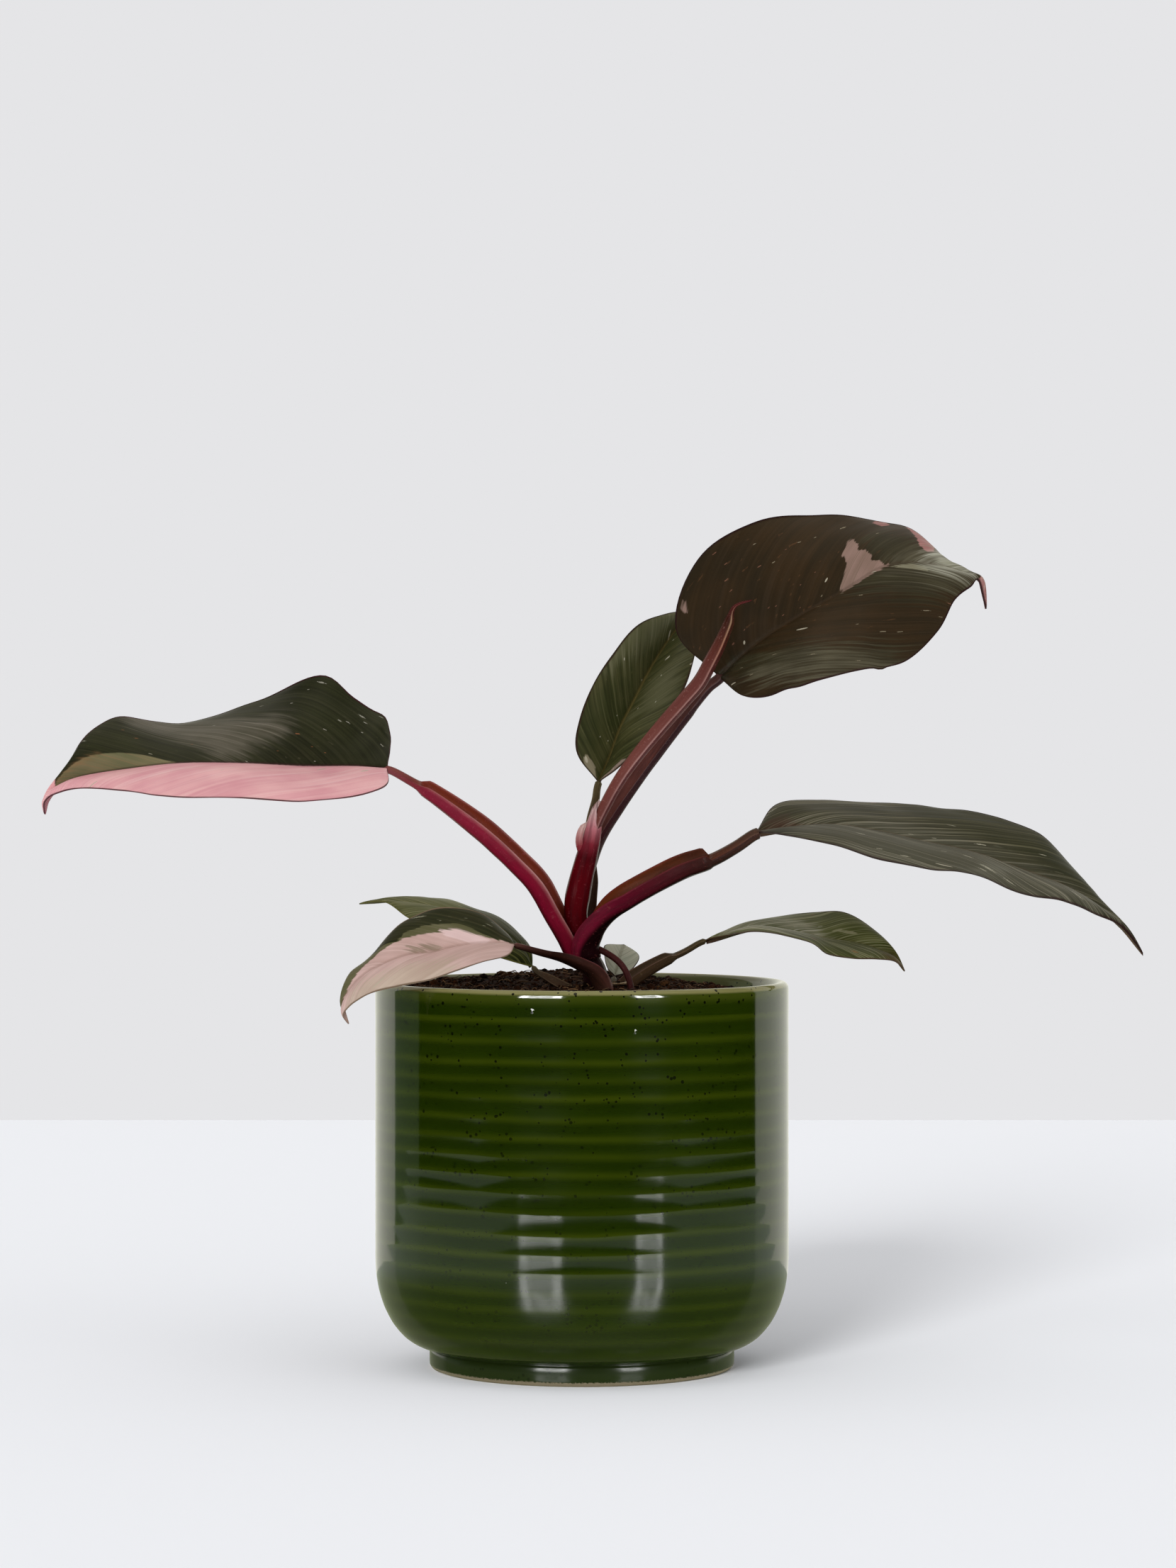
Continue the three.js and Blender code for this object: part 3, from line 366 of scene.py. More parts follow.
def spline(before, start, end, after, t):
    """The Catmull-Rom curve from start to end, read at t from 0 to 1"""
    return 0.5 * (2 * start + (end - before) * t + (2 * before - 5 * start + 4 * end - after) * t ** 2
                  + (3 * start - before - 3 * end + after) * t ** 3)


def with_ends(points):
    """The points, with one more at each end in line with the last two"""
    known = np.asarray(points, float)
    return known, np.vstack([2 * known[0] - known[1], known, 2 * known[-1] - known[-2]])


def guide(points, at):
    """A curve through evenly counted points, read at shares of the count"""
    known, padded = with_ends(points)
    place = np.clip(at, 0, 1) * (len(known) - 1)
    index = np.minimum(place.astype(int), len(known) - 2)
    return spline(*(padded[index + k] for k in range(4)), (place - index)[..., None])


def route_curve(points):
    """A centripetal curve through the points, as samples at even lengths, and its length"""
    known, padded = with_ends(points)
    pieces = []
    for i in range(len(known) - 1):
        before, start, end, after = padded[i:i + 4]
        gaps = [max(1e-4, np.linalg.norm(b - a)) ** 0.5
                for a, b in ((before, start), (start, end), (end, after))]
        leave = ((start - before) / gaps[0] - (end - before) / (gaps[0] + gaps[1])
                 + (end - start) / gaps[1]) * gaps[1]
        arrive = ((end - start) / gaps[1] - (after - start) / (gaps[1] + gaps[2])
                  + (after - end) / gaps[2]) * gaps[1]
        t = np.linspace(0, 1, SPAN_SAMPLES, endpoint=False)[:, None]
        pieces.append((2 * t ** 3 - 3 * t ** 2 + 1) * start + (t ** 3 - 2 * t ** 2 + t) * leave
                      + (3 * t ** 2 - 2 * t ** 3) * end + (t ** 3 - t ** 2) * arrive)
    dense = np.vstack([*pieces, known[-1:]])
    lengths = np.concatenate([[0], np.cumsum(np.linalg.norm(np.diff(dense, axis=0), axis=1))])
    even = np.linspace(0, lengths[-1], ROUTE_SAMPLES)
    return np.stack([np.interp(even, lengths, dense[:, k]) for k in range(3)], -1), lengths[-1]


def outline_distance(points, outline):
    """Signed distance from points to a closed outline, positive inside"""
    corners = np.asarray(outline, float)
    nearest = np.full(len(points), np.inf)
    inside = np.zeros(len(points), bool)
    for start, end in zip(corners, np.roll(corners, -1, axis=0)):
        run = end - start
        share = np.clip(((points - start) @ run) / max(run @ run, 1e-9), 0, 1)
        nearest = np.minimum(nearest, np.linalg.norm(points - start - share[:, None] * run, axis=1))
        spans = (start[1] > points[:, 1]) != (end[1] > points[:, 1])
        rise = end[1] - start[1]
        crossing = start[0] + (points[:, 1] - start[1]) * run[0] / (rise if rise else 1e-9)
        inside ^= spans & (points[:, 0] < crossing)
    return np.where(inside, nearest, -nearest)


# Meshes

BOX_LOW, BOX_HIGH = (np.array(corner) / MM for corner in CAD_BOUNDS)


def grid_faces(rows, columns, closed=False):
    """Quads of a grid of points that is stored row by row"""
    row, column = np.meshgrid(np.arange(rows - 1), np.arange(columns if closed else columns - 1),
                              indexing="ij")
    a = (row * columns + column).ravel()
    b = (row * columns + (column + 1) % columns).ravel()
    return np.stack([a, b, b + columns, a + columns], -1)


def fan_faces(centre, ring):
    ring = np.asarray(ring)
    return np.stack([np.full(len(ring), centre), ring, np.roll(ring, -1)], -1)


def tube_faces(rows, sides):
    """Faces of a closed tube: its rows, then its ends to two centres stored after them"""
    first = np.arange(sides)
    return [grid_faces(rows, sides, closed=True), fan_faces(rows * sides, first[::-1]),
            fan_faces(rows * sides + 1, (rows - 1) * sides + first)]


def sheet_faces(rows, columns):
    """Faces of a grid, and the walls between its edge and that of a second grid stored after it"""
    edge = [i * columns for i in range(rows)] + [(rows - 1) * columns + j for j in range(1, columns)]
    edge += [i * columns + columns - 1 for i in range(rows - 2, -1, -1)] + list(range(columns - 2, 0, -1))
    following = np.roll(edge, -1)
    count = rows * columns
    walls = np.stack([edge, following, following + count, np.array(edge) + count], -1)
    return grid_faces(rows, columns), walls


def add_piece(name, points, face_sets, material, node, vectors, colours=None):
    """A piece of the visual model in place of a node of the CAD, with values at its points"""
    points = np.clip(np.asarray(points, float), BOX_LOW, BOX_HIGH)
    mesh = bpy.data.meshes.new(name)
    mesh.vertices.add(len(points))
    mesh.vertices.foreach_set("co", (points * MM).astype(np.float32).ravel())
    corners = np.concatenate([np.asarray(faces).ravel() for faces in face_sets]).astype(np.int32)
    sizes = np.concatenate([np.full(len(faces), np.asarray(faces).shape[1]) for faces in face_sets])
    starts = np.concatenate([[0], np.cumsum(sizes)[:-1]]).astype(np.int32)
    mesh.loops.add(len(corners))
    mesh.loops.foreach_set("vertex_index", corners)
    mesh.polygons.add(len(sizes))
    mesh.polygons.foreach_set("loop_start", starts)
    mesh.update(calc_edges=True)
    mesh.validate()
    mesh.polygons.foreach_set("use_smooth", np.ones(len(mesh.polygons), bool))
    for key, values in vectors.items():
        layer = mesh.attributes.new(key, "FLOAT_VECTOR", "POINT")
        layer.data.foreach_set("vector", np.asarray(values, np.float32).ravel())
    for key, values in (colours or {}).items():
        layer = mesh.attributes.new(key, "FLOAT_COLOR", "POINT")
        opaque = np.concatenate([values, np.ones((len(values), 1))], axis=1)
        layer.data.foreach_set("color", opaque.astype(np.float32).ravel())
    mesh.materials.append(material)
    piece = bpy.data.objects.new(name, mesh)
    bpy.context.scene.collection.objects.link(piece)
    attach(piece, ROOT)
    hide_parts(node)
    return piece


# Colours are given as they look in the photograph, 0 to 255

def linear(colour):
    share = np.asarray(colour, float) / 255
    return np.where(share <= 0.04045, share / 12.92, ((share + 0.055) / 1.055) ** 2.4)


class Shader:
    """The nodes of a material or a world: most calls add one and return the socket to use"""

    def __init__(self, name, family="materials"):
        self.owner = getattr(bpy.data, family).new(name)
        self.owner.use_nodes = True
        self.tree = self.owner.node_tree
        self.tree.nodes.clear()

    def feed(self, socket, value):
        if isinstance(value, bpy.types.NodeSocket):
            self.tree.links.new(value, socket)
        elif isinstance(value, (tuple, list, np.ndarray)) and socket.type == "RGBA":
            socket.default_value = (*linear(value), 1)
        else:
            socket.default_value = value

    def add(self, kind, **settings):
        node = self.tree.nodes.new("ShaderNode" + kind)
        for key, value in settings.items():
            setattr(node, key, value)
        return node

    def fed(self, node, *values):
        """A node's first output, once its first inputs have the values"""
        for socket, value in zip(node.inputs, values):
            self.feed(socket, value)
        return node.outputs[0]

    def place(self):
        return self.add("TexCoord").outputs["Object"]

    def attribute(self, name, output="Vector"):
        return self.add("Attribute", attribute_name=name).outputs[output]

    def parts(self, vector):
        node = self.add("SeparateXYZ")
        self.feed(node.inputs[0], vector)
        return tuple(node.outputs)

    def vector(self, x, y, z):
        return self.fed(self.add("CombineXYZ"), x, y, z)

    def scaled(self, parts, scales):
        return self.vector(*(self.times(part, scale) for part, scale in zip(parts, scales)))

    def math(self, operation, *values):
        return self.fed(self.add("Math", operation=operation), *values)

    def plus(self, a, b):
        return self.math("ADD", a, b)

    def minus(self, a, b):
        return self.math("SUBTRACT", a, b)

    def times(self, a, b):
        return self.math("MULTIPLY", a, b)

    def fit(self, value, low, high, start=0.0, end=1.0):
        """Eases from start to end while the value goes from low to high"""
        return self.fed(self.add("MapRange", interpolation_type="SMOOTHSTEP"), value, low, high, start, end)

    def noise(self, vector, scale=1.0, detail=2.0, roughness=0.5):
        node = self.add("TexNoise")
        values = {"Vector": vector, "Scale": scale, "Detail": detail, "Roughness": roughness}
        for key, value in values.items():
            self.feed(node.inputs[key], value)
        return node.outputs[0]

    def cells(self, vector, scale):
        """Distance to the nearest of some scattered points, and a random colour for each"""
        node = self.add("TexVoronoi", feature="F1")
        self.feed(node.inputs["Vector"], vector)
        self.feed(node.inputs["Scale"], scale)
        return node.outputs["Distance"], node.outputs["Color"]

    def mix(self, share, first, second):
        node = self.add("Mix", data_type="RGBA")
        for index, value in ((0, share), (6, first), (7, second)):
            self.feed(node.inputs[index], value)
        return node.outputs[2]

    def vector_math(self, operation, *values):
        node = self.add("VectorMath", operation=operation)
        self.fed(node, *values)
        return node.outputs["Value" if operation == "LENGTH" else "Vector"]

    def bump(self, height, distance, normal=None):
        node = self.add("Bump")
        self.feed(node.inputs["Height"], height)
        self.feed(node.inputs["Distance"], distance)
        self.feed(node.inputs["Strength"], 1.0)
        if normal:
            self.feed(node.inputs["Normal"], normal)
        return node.outputs[0]

    def blend(self, share, first, second):
        return self.fed(self.add("MixShader"), share, first, second)

    def show(self, surface, output="OutputMaterial"):
        self.feed(self.add(output).inputs["Surface"], surface)
        return self.owner

    def finish(self, colour, **settings):
        surface = self.add("BsdfPrincipled")
        self.feed(surface.inputs["Base Color"], colour)
        for key, value in settings.items():
            self.feed(surface.inputs[key.replace("_", " ")], value)
        return self.show(surface.outputs[0])


# Pot

def wall_radius(height):
    """The ribbed wall without its ribs: a quarter ellipse, then straight"""
    corner_height = FOOT_HEIGHT + CORNER_RISE
    below = np.clip((corner_height - height) / CORNER_RISE, 0, 1)
    return FOOT_RADIUS + (POT_RADIUS - FOOT_RADIUS) * np.sqrt(1 - below ** 2)


def rib_profile(height):
    """Depth of the hollows between the crests, closeness to a crest, and painted shade under one"""
    crests = np.array([FOOT_HEIGHT - 1.5, *RIB_CRESTS, RIB_CRESTS[-1] + 5.5])
    index = np.clip(np.searchsorted(crests, height) - 1, 0, len(crests) - 2)
    span = crests[index + 1] - crests[index]
    share = np.clip((height - crests[index]) / span, 0, 1)
    depth = SCALLOP_DEPTH * 4 * share * (1 - share)
    nearest = np.minimum(share, 1 - share) * span
    crest = np.exp(-(nearest / CREST_SPREAD) ** 2)
    under = np.exp(-(((1 - share) * span - SHADE_DROP) / CREST_SPREAD) ** 2)
    return depth, crest, under


def pot_piece():
    """The pot as a profile turned around its axis, with the ribs' hollows square to its wall"""
    corner = [(FOOT_RADIUS + (POT_RADIUS - FOOT_RADIUS) * math.sin(a),
               FOOT_HEIGHT + CORNER_RISE * (1 - math.cos(a)))
              for a in np.linspace(math.radians(4), math.pi / 2, CORNER_STEPS)]
    straight = np.arange(FOOT_HEIGHT + CORNER_RISE + WALL_STEP, RIM_BAND[0][1] - 0.3, WALL_STEP)
    inner_run = POT_RADIUS - POT_WALL - INNER_FLOOR_RADIUS
    inner_rise = CORNER_RISE - POT_WALL
    inner = [(INNER_FLOOR_RADIUS + inner_run * math.cos(a),
              FOOT_HEIGHT + CORNER_RISE - inner_rise * math.sin(a))
             for a in np.linspace(0, math.pi / 2, INNER_STEPS)]
    profile = np.array([*FOOT_RING, *corner, *((POT_RADIUS, z) for z in straight), *RIM_BAND,
                        *((POT_RADIUS - POT_WALL, z) for z in INNER_HEIGHTS), *inner])
    rows = len(profile)
    ribs_end = len(FOOT_RING) + CORNER_STEPS + len(straight)
    ribbed = np.zeros((rows, 1))
    ribbed[len(FOOT_RING):ribs_end] = 1
    turn = np.linspace(0, 2 * math.pi, POT_SIDES, endpoint=False)
    radius = np.repeat(profile[:, :1], POT_SIDES, axis=1)
    height = np.repeat(profile[:, 1:], POT_SIDES, axis=1)
    around = np.repeat([turn * NOISE_SIZE / (2 * math.pi)], rows, axis=0)
    depth, crest, under = rib_profile(height + RIB_WOBBLE * layered_noise(around / 4, height / 19, 11, 2))
    soft = smoothstep(6, 11, height) * smoothstep(132, 129.7, height)
    depth = depth * ribbed * soft
    slope = np.gradient(wall_radius(profile[:, 1]), profile[:, 1])[:, None] * ribbed
    slope = np.clip(slope, 0, STEEPEST_RIB)
    level = np.hypot(1, slope)
    radius = radius - depth / level
    height = height + depth * slope / level
    points = np.stack([radius * np.cos(turn), radius * np.sin(turn), height], -1).reshape(-1, 3)
    points = np.vstack([points, [[0, 0, 0], [0, 0, FOOT_HEIGHT + POT_WALL]]])
    inside = np.arange(rows)[:, None] >= ribs_end + len(RIM_BAND) - 3
    # Per point: closeness to a crest, painted shade under one, and whether it is inside
    marks = np.stack([crest * ribbed, under * ribbed, np.repeat(inside * 1.0, POT_SIDES, axis=1)], -1)
    marks = np.vstack([marks.reshape(-1, 3), [[0, 0, 0], [0, 0, 1]]])
    return add_piece("ribbed_pot", points, tube_faces(rows, POT_SIDES), glaze_material(), "pot",
                     {"glaze": marks})


def glaze_material():
    s = Shader("glaze")
    crest, under, inside = s.parts(s.attribute("glaze"))
    place = s.place()
    spot = s.parts(place)
    height = s.times(spot[2], 1000)
    cloud = s.noise(s.scaled(spot, (25, 25, 60)), 1, 3)
    drift = s.noise(s.scaled(spot, (10, 10, 120)), 1, 2)
    body = s.mix(s.fit(cloud, 0.35, 0.68), GLAZE["dark"], GLAZE["mid"])
    # Painted shade: a darker band just under each crest
    body = s.mix(s.times(under, 0.4), body, GLAZE["deep"])
    crest_share = s.times(s.fit(drift, 0.3, 0.65, 0.3, 0.6), s.fit(height, 10, 60, 0.4, 1))
    body = s.mix(s.times(crest, crest_share), body, GLAZE["crest"])
    body = s.mix(s.fit(height, 14, 3, 0, 0.5), body, GLAZE["foot"])
    rim_edge = s.plus(height, s.fit(drift, 0.2, 0.8, -0.4, 0.4))
    body = s.mix(s.fit(rim_edge, 133.8, 137.5, 0, 0.8), body, GLAZE["band_low"])
    body = s.mix(s.fit(rim_edge, 138.0, 138.9), body, GLAZE["band"])
    body = s.mix(inside, body, GLAZE["inside"])
    speckle_size = s.fit(s.noise(place, 160, 1), 0.37, 0.7, 0.0, 0.3)
    speckle = s.math("LESS_THAN", s.cells(place, 480)[0], speckle_size)
    body = s.mix(s.times(speckle, s.fit(height, 30, 139, 0.4, 0.95)), body, GLAZE["speckle"])
    # Painted glints: sparse white flecks, which also pass for dust
    glint_and_dust = s.math("LESS_THAN", s.cells(place, 120)[0], s.fit(drift, 0.5, 0.8, 0.0, 0.045))
    body = s.mix(s.times(glint_and_dust, 0.8), body, GLAZE["glint_and_dust"])
    worn_edge = s.plus(height, s.fit(s.noise(place, 1500, 1), 0.3, 0.7, -0.2, 0.2))
    body = s.mix(s.fit(worn_edge, 1.9, 1.3), body, GLAZE["clay"])
    roughness = s.plus(s.fit(cloud, 0.3, 0.7, 0.06, 0.09), s.fit(height, 9.5, 7.5, 0, 0.08))
    ripple = s.noise(s.scaled(spot, (14, 14, 90)), 1, 1)
    normal = s.bump(s.times(s.minus(ripple, 0.5), s.fit(height, 137, 132)), GRAIN["glaze"])
    nearest = 1.0
    for across, up in GLAZE_BEADS:
        centre = (across * MM, -math.sqrt(POT_RADIUS ** 2 - across ** 2) * MM, up * MM)
        away = s.vector_math("LENGTH", s.vector_math("SUBTRACT", place, centre))
        nearest = s.math("MINIMUM", away, nearest)
    normal = s.bump(s.fit(nearest, BEAD_RADIUS, 0), GRAIN["bead"], normal=normal)
    level = s.fit(height, 9.5, 7.5, 0.5, 0.22)
    return s.finish(body, Roughness=roughness, Normal=normal, IOR=GLAZE_IOR, Specular_IOR_Level=level)


# Small beads of glaze on the front, as places across and up
GLAZE_BEADS = [(-17.2, 132.8), (18.4, 125.7)]
# The deep colour is painted shade under the crests
GLAZE = {"dark": (28, 43, 1), "mid": (33, 48, 1), "deep": (24, 37, 1), "crest": (66, 78, 8),
         "foot": (54, 66, 36), "band_low": (64, 74, 16), "band": (134, 130, 80), "inside": (100, 102, 66),
         # The near-white flecks are painted glints that also pass for dust
         "speckle": (8, 12, 2), "glint_and_dust": (190, 192, 180), "clay": (150, 138, 112)}


# Soil

def soil_height(x, y):
    across, deep = (x - MOUND["x"]) / MOUND["spread_x"], (y - MOUND["y"]) / MOUND["spread_y"]
    mound = MOUND["height"] * np.exp(-(across ** 2 + deep ** 2) / 2)
    lumps = 0.45 * layered_noise(x / 6 + 31, y / 6 + 17, 21, 3)
    return SOIL_LEVEL + SOIL_TILT * x + mound + lumps


def ico_lump():
    golden = (1 + 5 ** 0.5) / 2
    corners = unit(np.array([(-1, golden, 0), (1, golden, 0), (-1, -golden, 0), (1, -golden, 0),
                             (0, -1, golden), (0, 1, golden), (0, -1, -golden), (0, 1, -golden),
                             (golden, 0, -1), (golden, 0, 1), (-golden, 0, -1), (-golden, 0, 1)], float))
    faces = np.array([(0, 11, 5), (0, 5, 1), (0, 1, 7), (0, 7, 10), (0, 10, 11), (1, 5, 9), (5, 11, 4),
                      (11, 10, 2), (10, 7, 6), (7, 1, 8), (3, 9, 4), (3, 4, 2), (3, 2, 6), (3, 6, 8),
                      (3, 8, 9), (4, 9, 5), (2, 4, 11), (6, 2, 10), (8, 6, 7), (9, 8, 1)])
    return corners, faces


def soil_piece():
    """The mound with crumbs set into its top, then what lies on it"""
    rng = np.random.default_rng(5)
    rim = POT_RADIUS - POT_WALL - SOIL_GAP
    turn = np.linspace(0, 2 * math.pi, SOIL_SIDES, endpoint=False)
    shares = (np.arange(1, SOIL_RINGS + 1) / SOIL_RINGS) ** 0.85
    radius = np.repeat((rim * shares)[:, None], SOIL_SIDES, axis=1)
    x, y = radius * np.cos(turn), radius * np.sin(turn)
    top = np.stack([x, y, soil_height(x, y)], -1).reshape(-1, 3)
    below = []
    for share in np.linspace(0, 1, SOIL_UNDER_RINGS):
        angle = share * math.pi / 2
        run = INNER_FLOOR_RADIUS + (rim - INNER_FLOOR_RADIUS) * math.cos(angle)
        rise = FOOT_HEIGHT + CORNER_RISE - (CORNER_RISE - POT_WALL - SOIL_GAP) * math.sin(angle)
        below.append(np.stack([run * np.cos(turn), run * np.sin(turn), np.full(SOIL_SIDES, rise)], -1))
    centre_top = [[0, 0, float(soil_height(np.array(0.0), np.array(0.0)))]]
    centre_low = [[0, 0, float(below[-1][0, 2])]]
    body = np.vstack([top, *below, centre_top, centre_low])
    rows = SOIL_RINGS + len(below)
    first = np.arange(SOIL_SIDES)
    body_faces = [grid_faces(rows, SOIL_SIDES, closed=True)[:, ::-1], fan_faces(rows * SOIL_SIDES, first),
                  fan_faces(rows * SOIL_SIDES + 1, ((rows - 1) * SOIL_SIDES + first)[::-1])]
    tints = np.tile(0.5 + 0.4 * layered_noise(body[:, :1] / 3, body[:, 1:2] / 3, 41, 2), (1, 3))

    corners, lump_faces = ico_lump()
    angle = rng.uniform(0, 2 * math.pi, CRUMBS)
    reach = (rim - CRUMB_MARGIN) * np.sqrt(rng.uniform(0, 1, CRUMBS))
    size = (CRUMB_LEAST + CRUMB_SPREAD * rng.power(0.4, CRUMBS)
            + LUMP_EXTRA * (rng.uniform(0, 1, CRUMBS) > LUMPS_FROM))
    cx, cy = reach * np.cos(angle), reach * np.sin(angle)
    shape = corners * rng.uniform(0.7, 1.25, (CRUMBS, len(corners), 1))
    stretch = rng.uniform(0.7, 1.4, (CRUMBS, 1, 3)) * np.array([1, 1, 0.8])
    centre = np.stack([cx, cy, soil_height(cx, cy) + 0.3 * size], -1)[:, None, :]
    crumbs = centre + shape * stretch * size[:, None, None]
    crumb_faces = lump_faces + (np.arange(CRUMBS) * len(corners))[:, None, None] + len(body)
    crumb_tints = np.repeat(rng.uniform(0, 1, (CRUMBS, 1, 3)), len(corners), axis=1)

    points = np.vstack([body, crumbs.reshape(-1, 3)])
    values = np.vstack([tints, crumb_tints.reshape(-1, 3)])
    add_piece("soil_bed", points, [*body_faces, crumb_faces.reshape(-1, 3)], soil_material(), "soil",
              {"crumb": values})
    fibre_piece(rng, rim)
    scale_piece()


def fibre_piece(rng, rim):
    """Fine roots and bits of fibre that lie on the soil"""
    steps, sides = 7, 4
    points, faces = [], []
    for index in range(FIBRES):
        angle = rng.uniform(0, 2 * math.pi)
        reach = (rim - FIBRE_MARGIN) * math.sqrt(rng.uniform(0, 1))
        heading, bend = rng.uniform(0, 2 * math.pi), rng.uniform(-0.5, 0.5)
        length, thick = rng.uniform(2.5, 8), rng.uniform(0.1, 0.24)
        lift = rng.uniform(0.1, 0.8)
        place = np.array([reach * math.cos(angle), reach * math.sin(angle)])
        for step in range(steps):
            way = np.array([math.cos(heading), math.sin(heading)])
            base = soil_height(place[:1], place[1:])[0] + 0.5 + lift * math.sin(math.pi * step / (steps - 1))
            side = np.array([-way[1], way[0]])
            for turn in range(sides):
                about = 2 * math.pi * turn / sides
                spot = place + side * thick * math.cos(about)
                points.append((spot[0], spot[1], base + thick * math.sin(about)))
            place = place + way * length / steps
            heading += bend
        first = index * steps * sides
        faces.append(grid_faces(steps, sides, closed=True) + first)
        faces.append(np.array([[first + 3, first + 2, first + 1, first],
                               [first + (steps - 1) * sides + k for k in range(sides)]]))
    points = np.array(points)
    tints = np.repeat(rng.uniform(0, 1, (FIBRES, 1, 3)), steps * sides, axis=1).reshape(-1, 3)
    add_piece("soil_fibres", points, faces, fibre_material(), "soil", {"crumb": tints})


def scale_piece():
    """The dried, curled scale that lies on the soil in front of the crown"""
    rows, columns = 14, 12
    along = np.linspace(-1, 1, rows)[:, None]
    across = np.linspace(-1, 1, columns)[None, :]
    width = 1.3 * np.sqrt(np.maximum(0.05, 1 - along ** 2))
    x = 13.2 + 3.6 * along
    y = 2 + width * across + 0.4 * along ** 2
    z = 138.3 + 0.7 * across ** 2 + 0.4 * along ** 2 + 0.25 * along
    middle = np.stack(np.broadcast_arrays(x, y, z), -1).reshape(-1, 3)
    half_thickness = [0, 0, 0.12]
    top, walls = sheet_faces(rows, columns)
    faces = [top, top[:, ::-1] + rows * columns, walls]
    add_piece("dried_scale", np.vstack([middle + half_thickness, middle - half_thickness]), faces,
              scale_material(), "soil", {"crumb": np.full((2 * rows * columns, 3), 0.98)})


def soil_material():
    s = Shader("potting_soil")
    tint, second, third = s.parts(s.attribute("crumb"))
    fine = s.noise(s.place(), 900, 4, 0.6)
    colour = s.mix(s.fit(tint, 0.1, 0.95), (28, 14, 6), (78, 44, 24))
    colour = s.mix(s.fit(second, 0.9, 0.99, 0, 0.7), colour, (118, 84, 50))
    colour = s.mix(s.fit(third, 0.97, 1.0, 0, 0.7), colour, (150, 128, 96))
    colour = s.mix(s.fit(fine, 0.35, 0.7, 0.0, 0.75), colour, (16, 9, 5))
    return s.finish(colour, Roughness=0.92, Normal=s.bump(fine, GRAIN["soil"]), Specular_IOR_Level=0.1)


def fibre_material():
    s = Shader("dry_fibre")
    tint = s.parts(s.attribute("crumb"))[0]
    place = s.place()
    colour = s.mix(tint, (56, 34, 20), (140, 104, 66))
    colour = s.mix(s.fit(s.noise(place, 1200, 2), 0.4, 0.7, 0, 0.5), colour, (52, 34, 22))
    return s.finish(colour, Roughness=0.8, Normal=s.bump(s.noise(place, 3000, 2), GRAIN["fibre"]))


def scale_material():
    s = Shader("dried_scale")
    grain = s.noise(s.scaled(s.parts(s.place()), (300, 1800, 900)), 1, 3)
    colour = s.mix(s.fit(grain, 0.35, 0.7), (196, 176, 140), (150, 112, 80))
    return s.finish(colour, Roughness=0.6, Normal=s.bump(grain, GRAIN["scale"]))


# Blades

def blade_surface(blade, along, across):
    """Points of the middle surface: along from base to tip, across from -1 at the left edge over
    0 at the midrib to 1 at the right edge"""
    def line(key):
        curve = guide([blade["base"], *blade[key], blade["tip"]], along)
        for share, spread, shift in blade.get("nudges", {}).get(key, []):
            curve = curve + np.exp(-((along - share) / spread) ** 2)[..., None] * np.array(shift, float)
        return curve

    rib, left, right = line("midrib"), line("left"), line("right")
    step = 1e-3
    points = [blade["base"], *blade["midrib"], blade["tip"]]
    tangent = guide(points, np.minimum(along + step, 1)) - guide(points, np.maximum(along - step, 0))
    bulge = unit(np.cross(right - left, tangent))
    reach = np.abs(across)[..., None]
    edge = np.where(across[..., None] < 0, left, right)
    height = blade["crown"] * np.sin(math.pi * reach) * np.sqrt(np.sin(math.pi * along))[..., None]
    return rib * (1 - reach) + edge * reach + bulge * height


def local_normal(blade, along, across):
    """The surface's normal, from its own slopes near each point"""
    step, side_step = 0.01, 0.05
    run = blade_surface(blade, np.minimum(along + step, 1), across)
    run = run - blade_surface(blade, np.maximum(along - step, 0), across)
    span = blade_surface(blade, along, np.minimum(across + side_step, 1))
    span = span - blade_surface(blade, along, np.maximum(across - side_step, -1))
    return unit(np.cross(span, run))


def blade_frame(blade):
    """The grid of one blade, its normals, and its lengths along and across in millimetres"""
    middle = guide([blade["base"], *blade["midrib"], blade["tip"]], np.linspace(0, 1, 200))
    length = np.linalg.norm(np.diff(middle, axis=0), axis=1).sum()
    rows = max(24, round(length / BLADE_STEP))
    along = np.linspace(BLADE_START, BLADE_END, rows)
    half = np.linspace(0, 1, HALF_COLUMNS + 1) ** 1.15
    across = np.concatenate([-half[:0:-1], half])
    u, v = np.meshgrid(along, across, indexing="ij")
    points = blade_surface(blade, u, v)
    rib = blade_surface(blade, u, np.zeros_like(v))
    share = smoothstep(0, FOLD_REACH, np.linalg.norm(points - rib, axis=-1))[..., None]
    rib_normal = local_normal(blade, u, np.zeros_like(v))
    normal = unit(rib_normal * (1 - share) + local_normal(blade, u, v) * share)
    steps = np.linalg.norm(np.diff(points, axis=1), axis=-1)
    out = np.concatenate([np.zeros((rows, 1)), np.cumsum(steps, axis=1)], axis=1)
    side = out - out[:, HALF_COLUMNS:HALF_COLUMNS + 1]
    edge = np.where(v < 0, out, out[:, -1:] - out)
    lengths = np.linalg.norm(np.diff(points[:, HALF_COLUMNS], axis=0), axis=1)
    run = np.repeat(np.concatenate([[0], np.cumsum(lengths)])[:, None], len(across), axis=1)
    return u, v, points, normal, run, side, edge


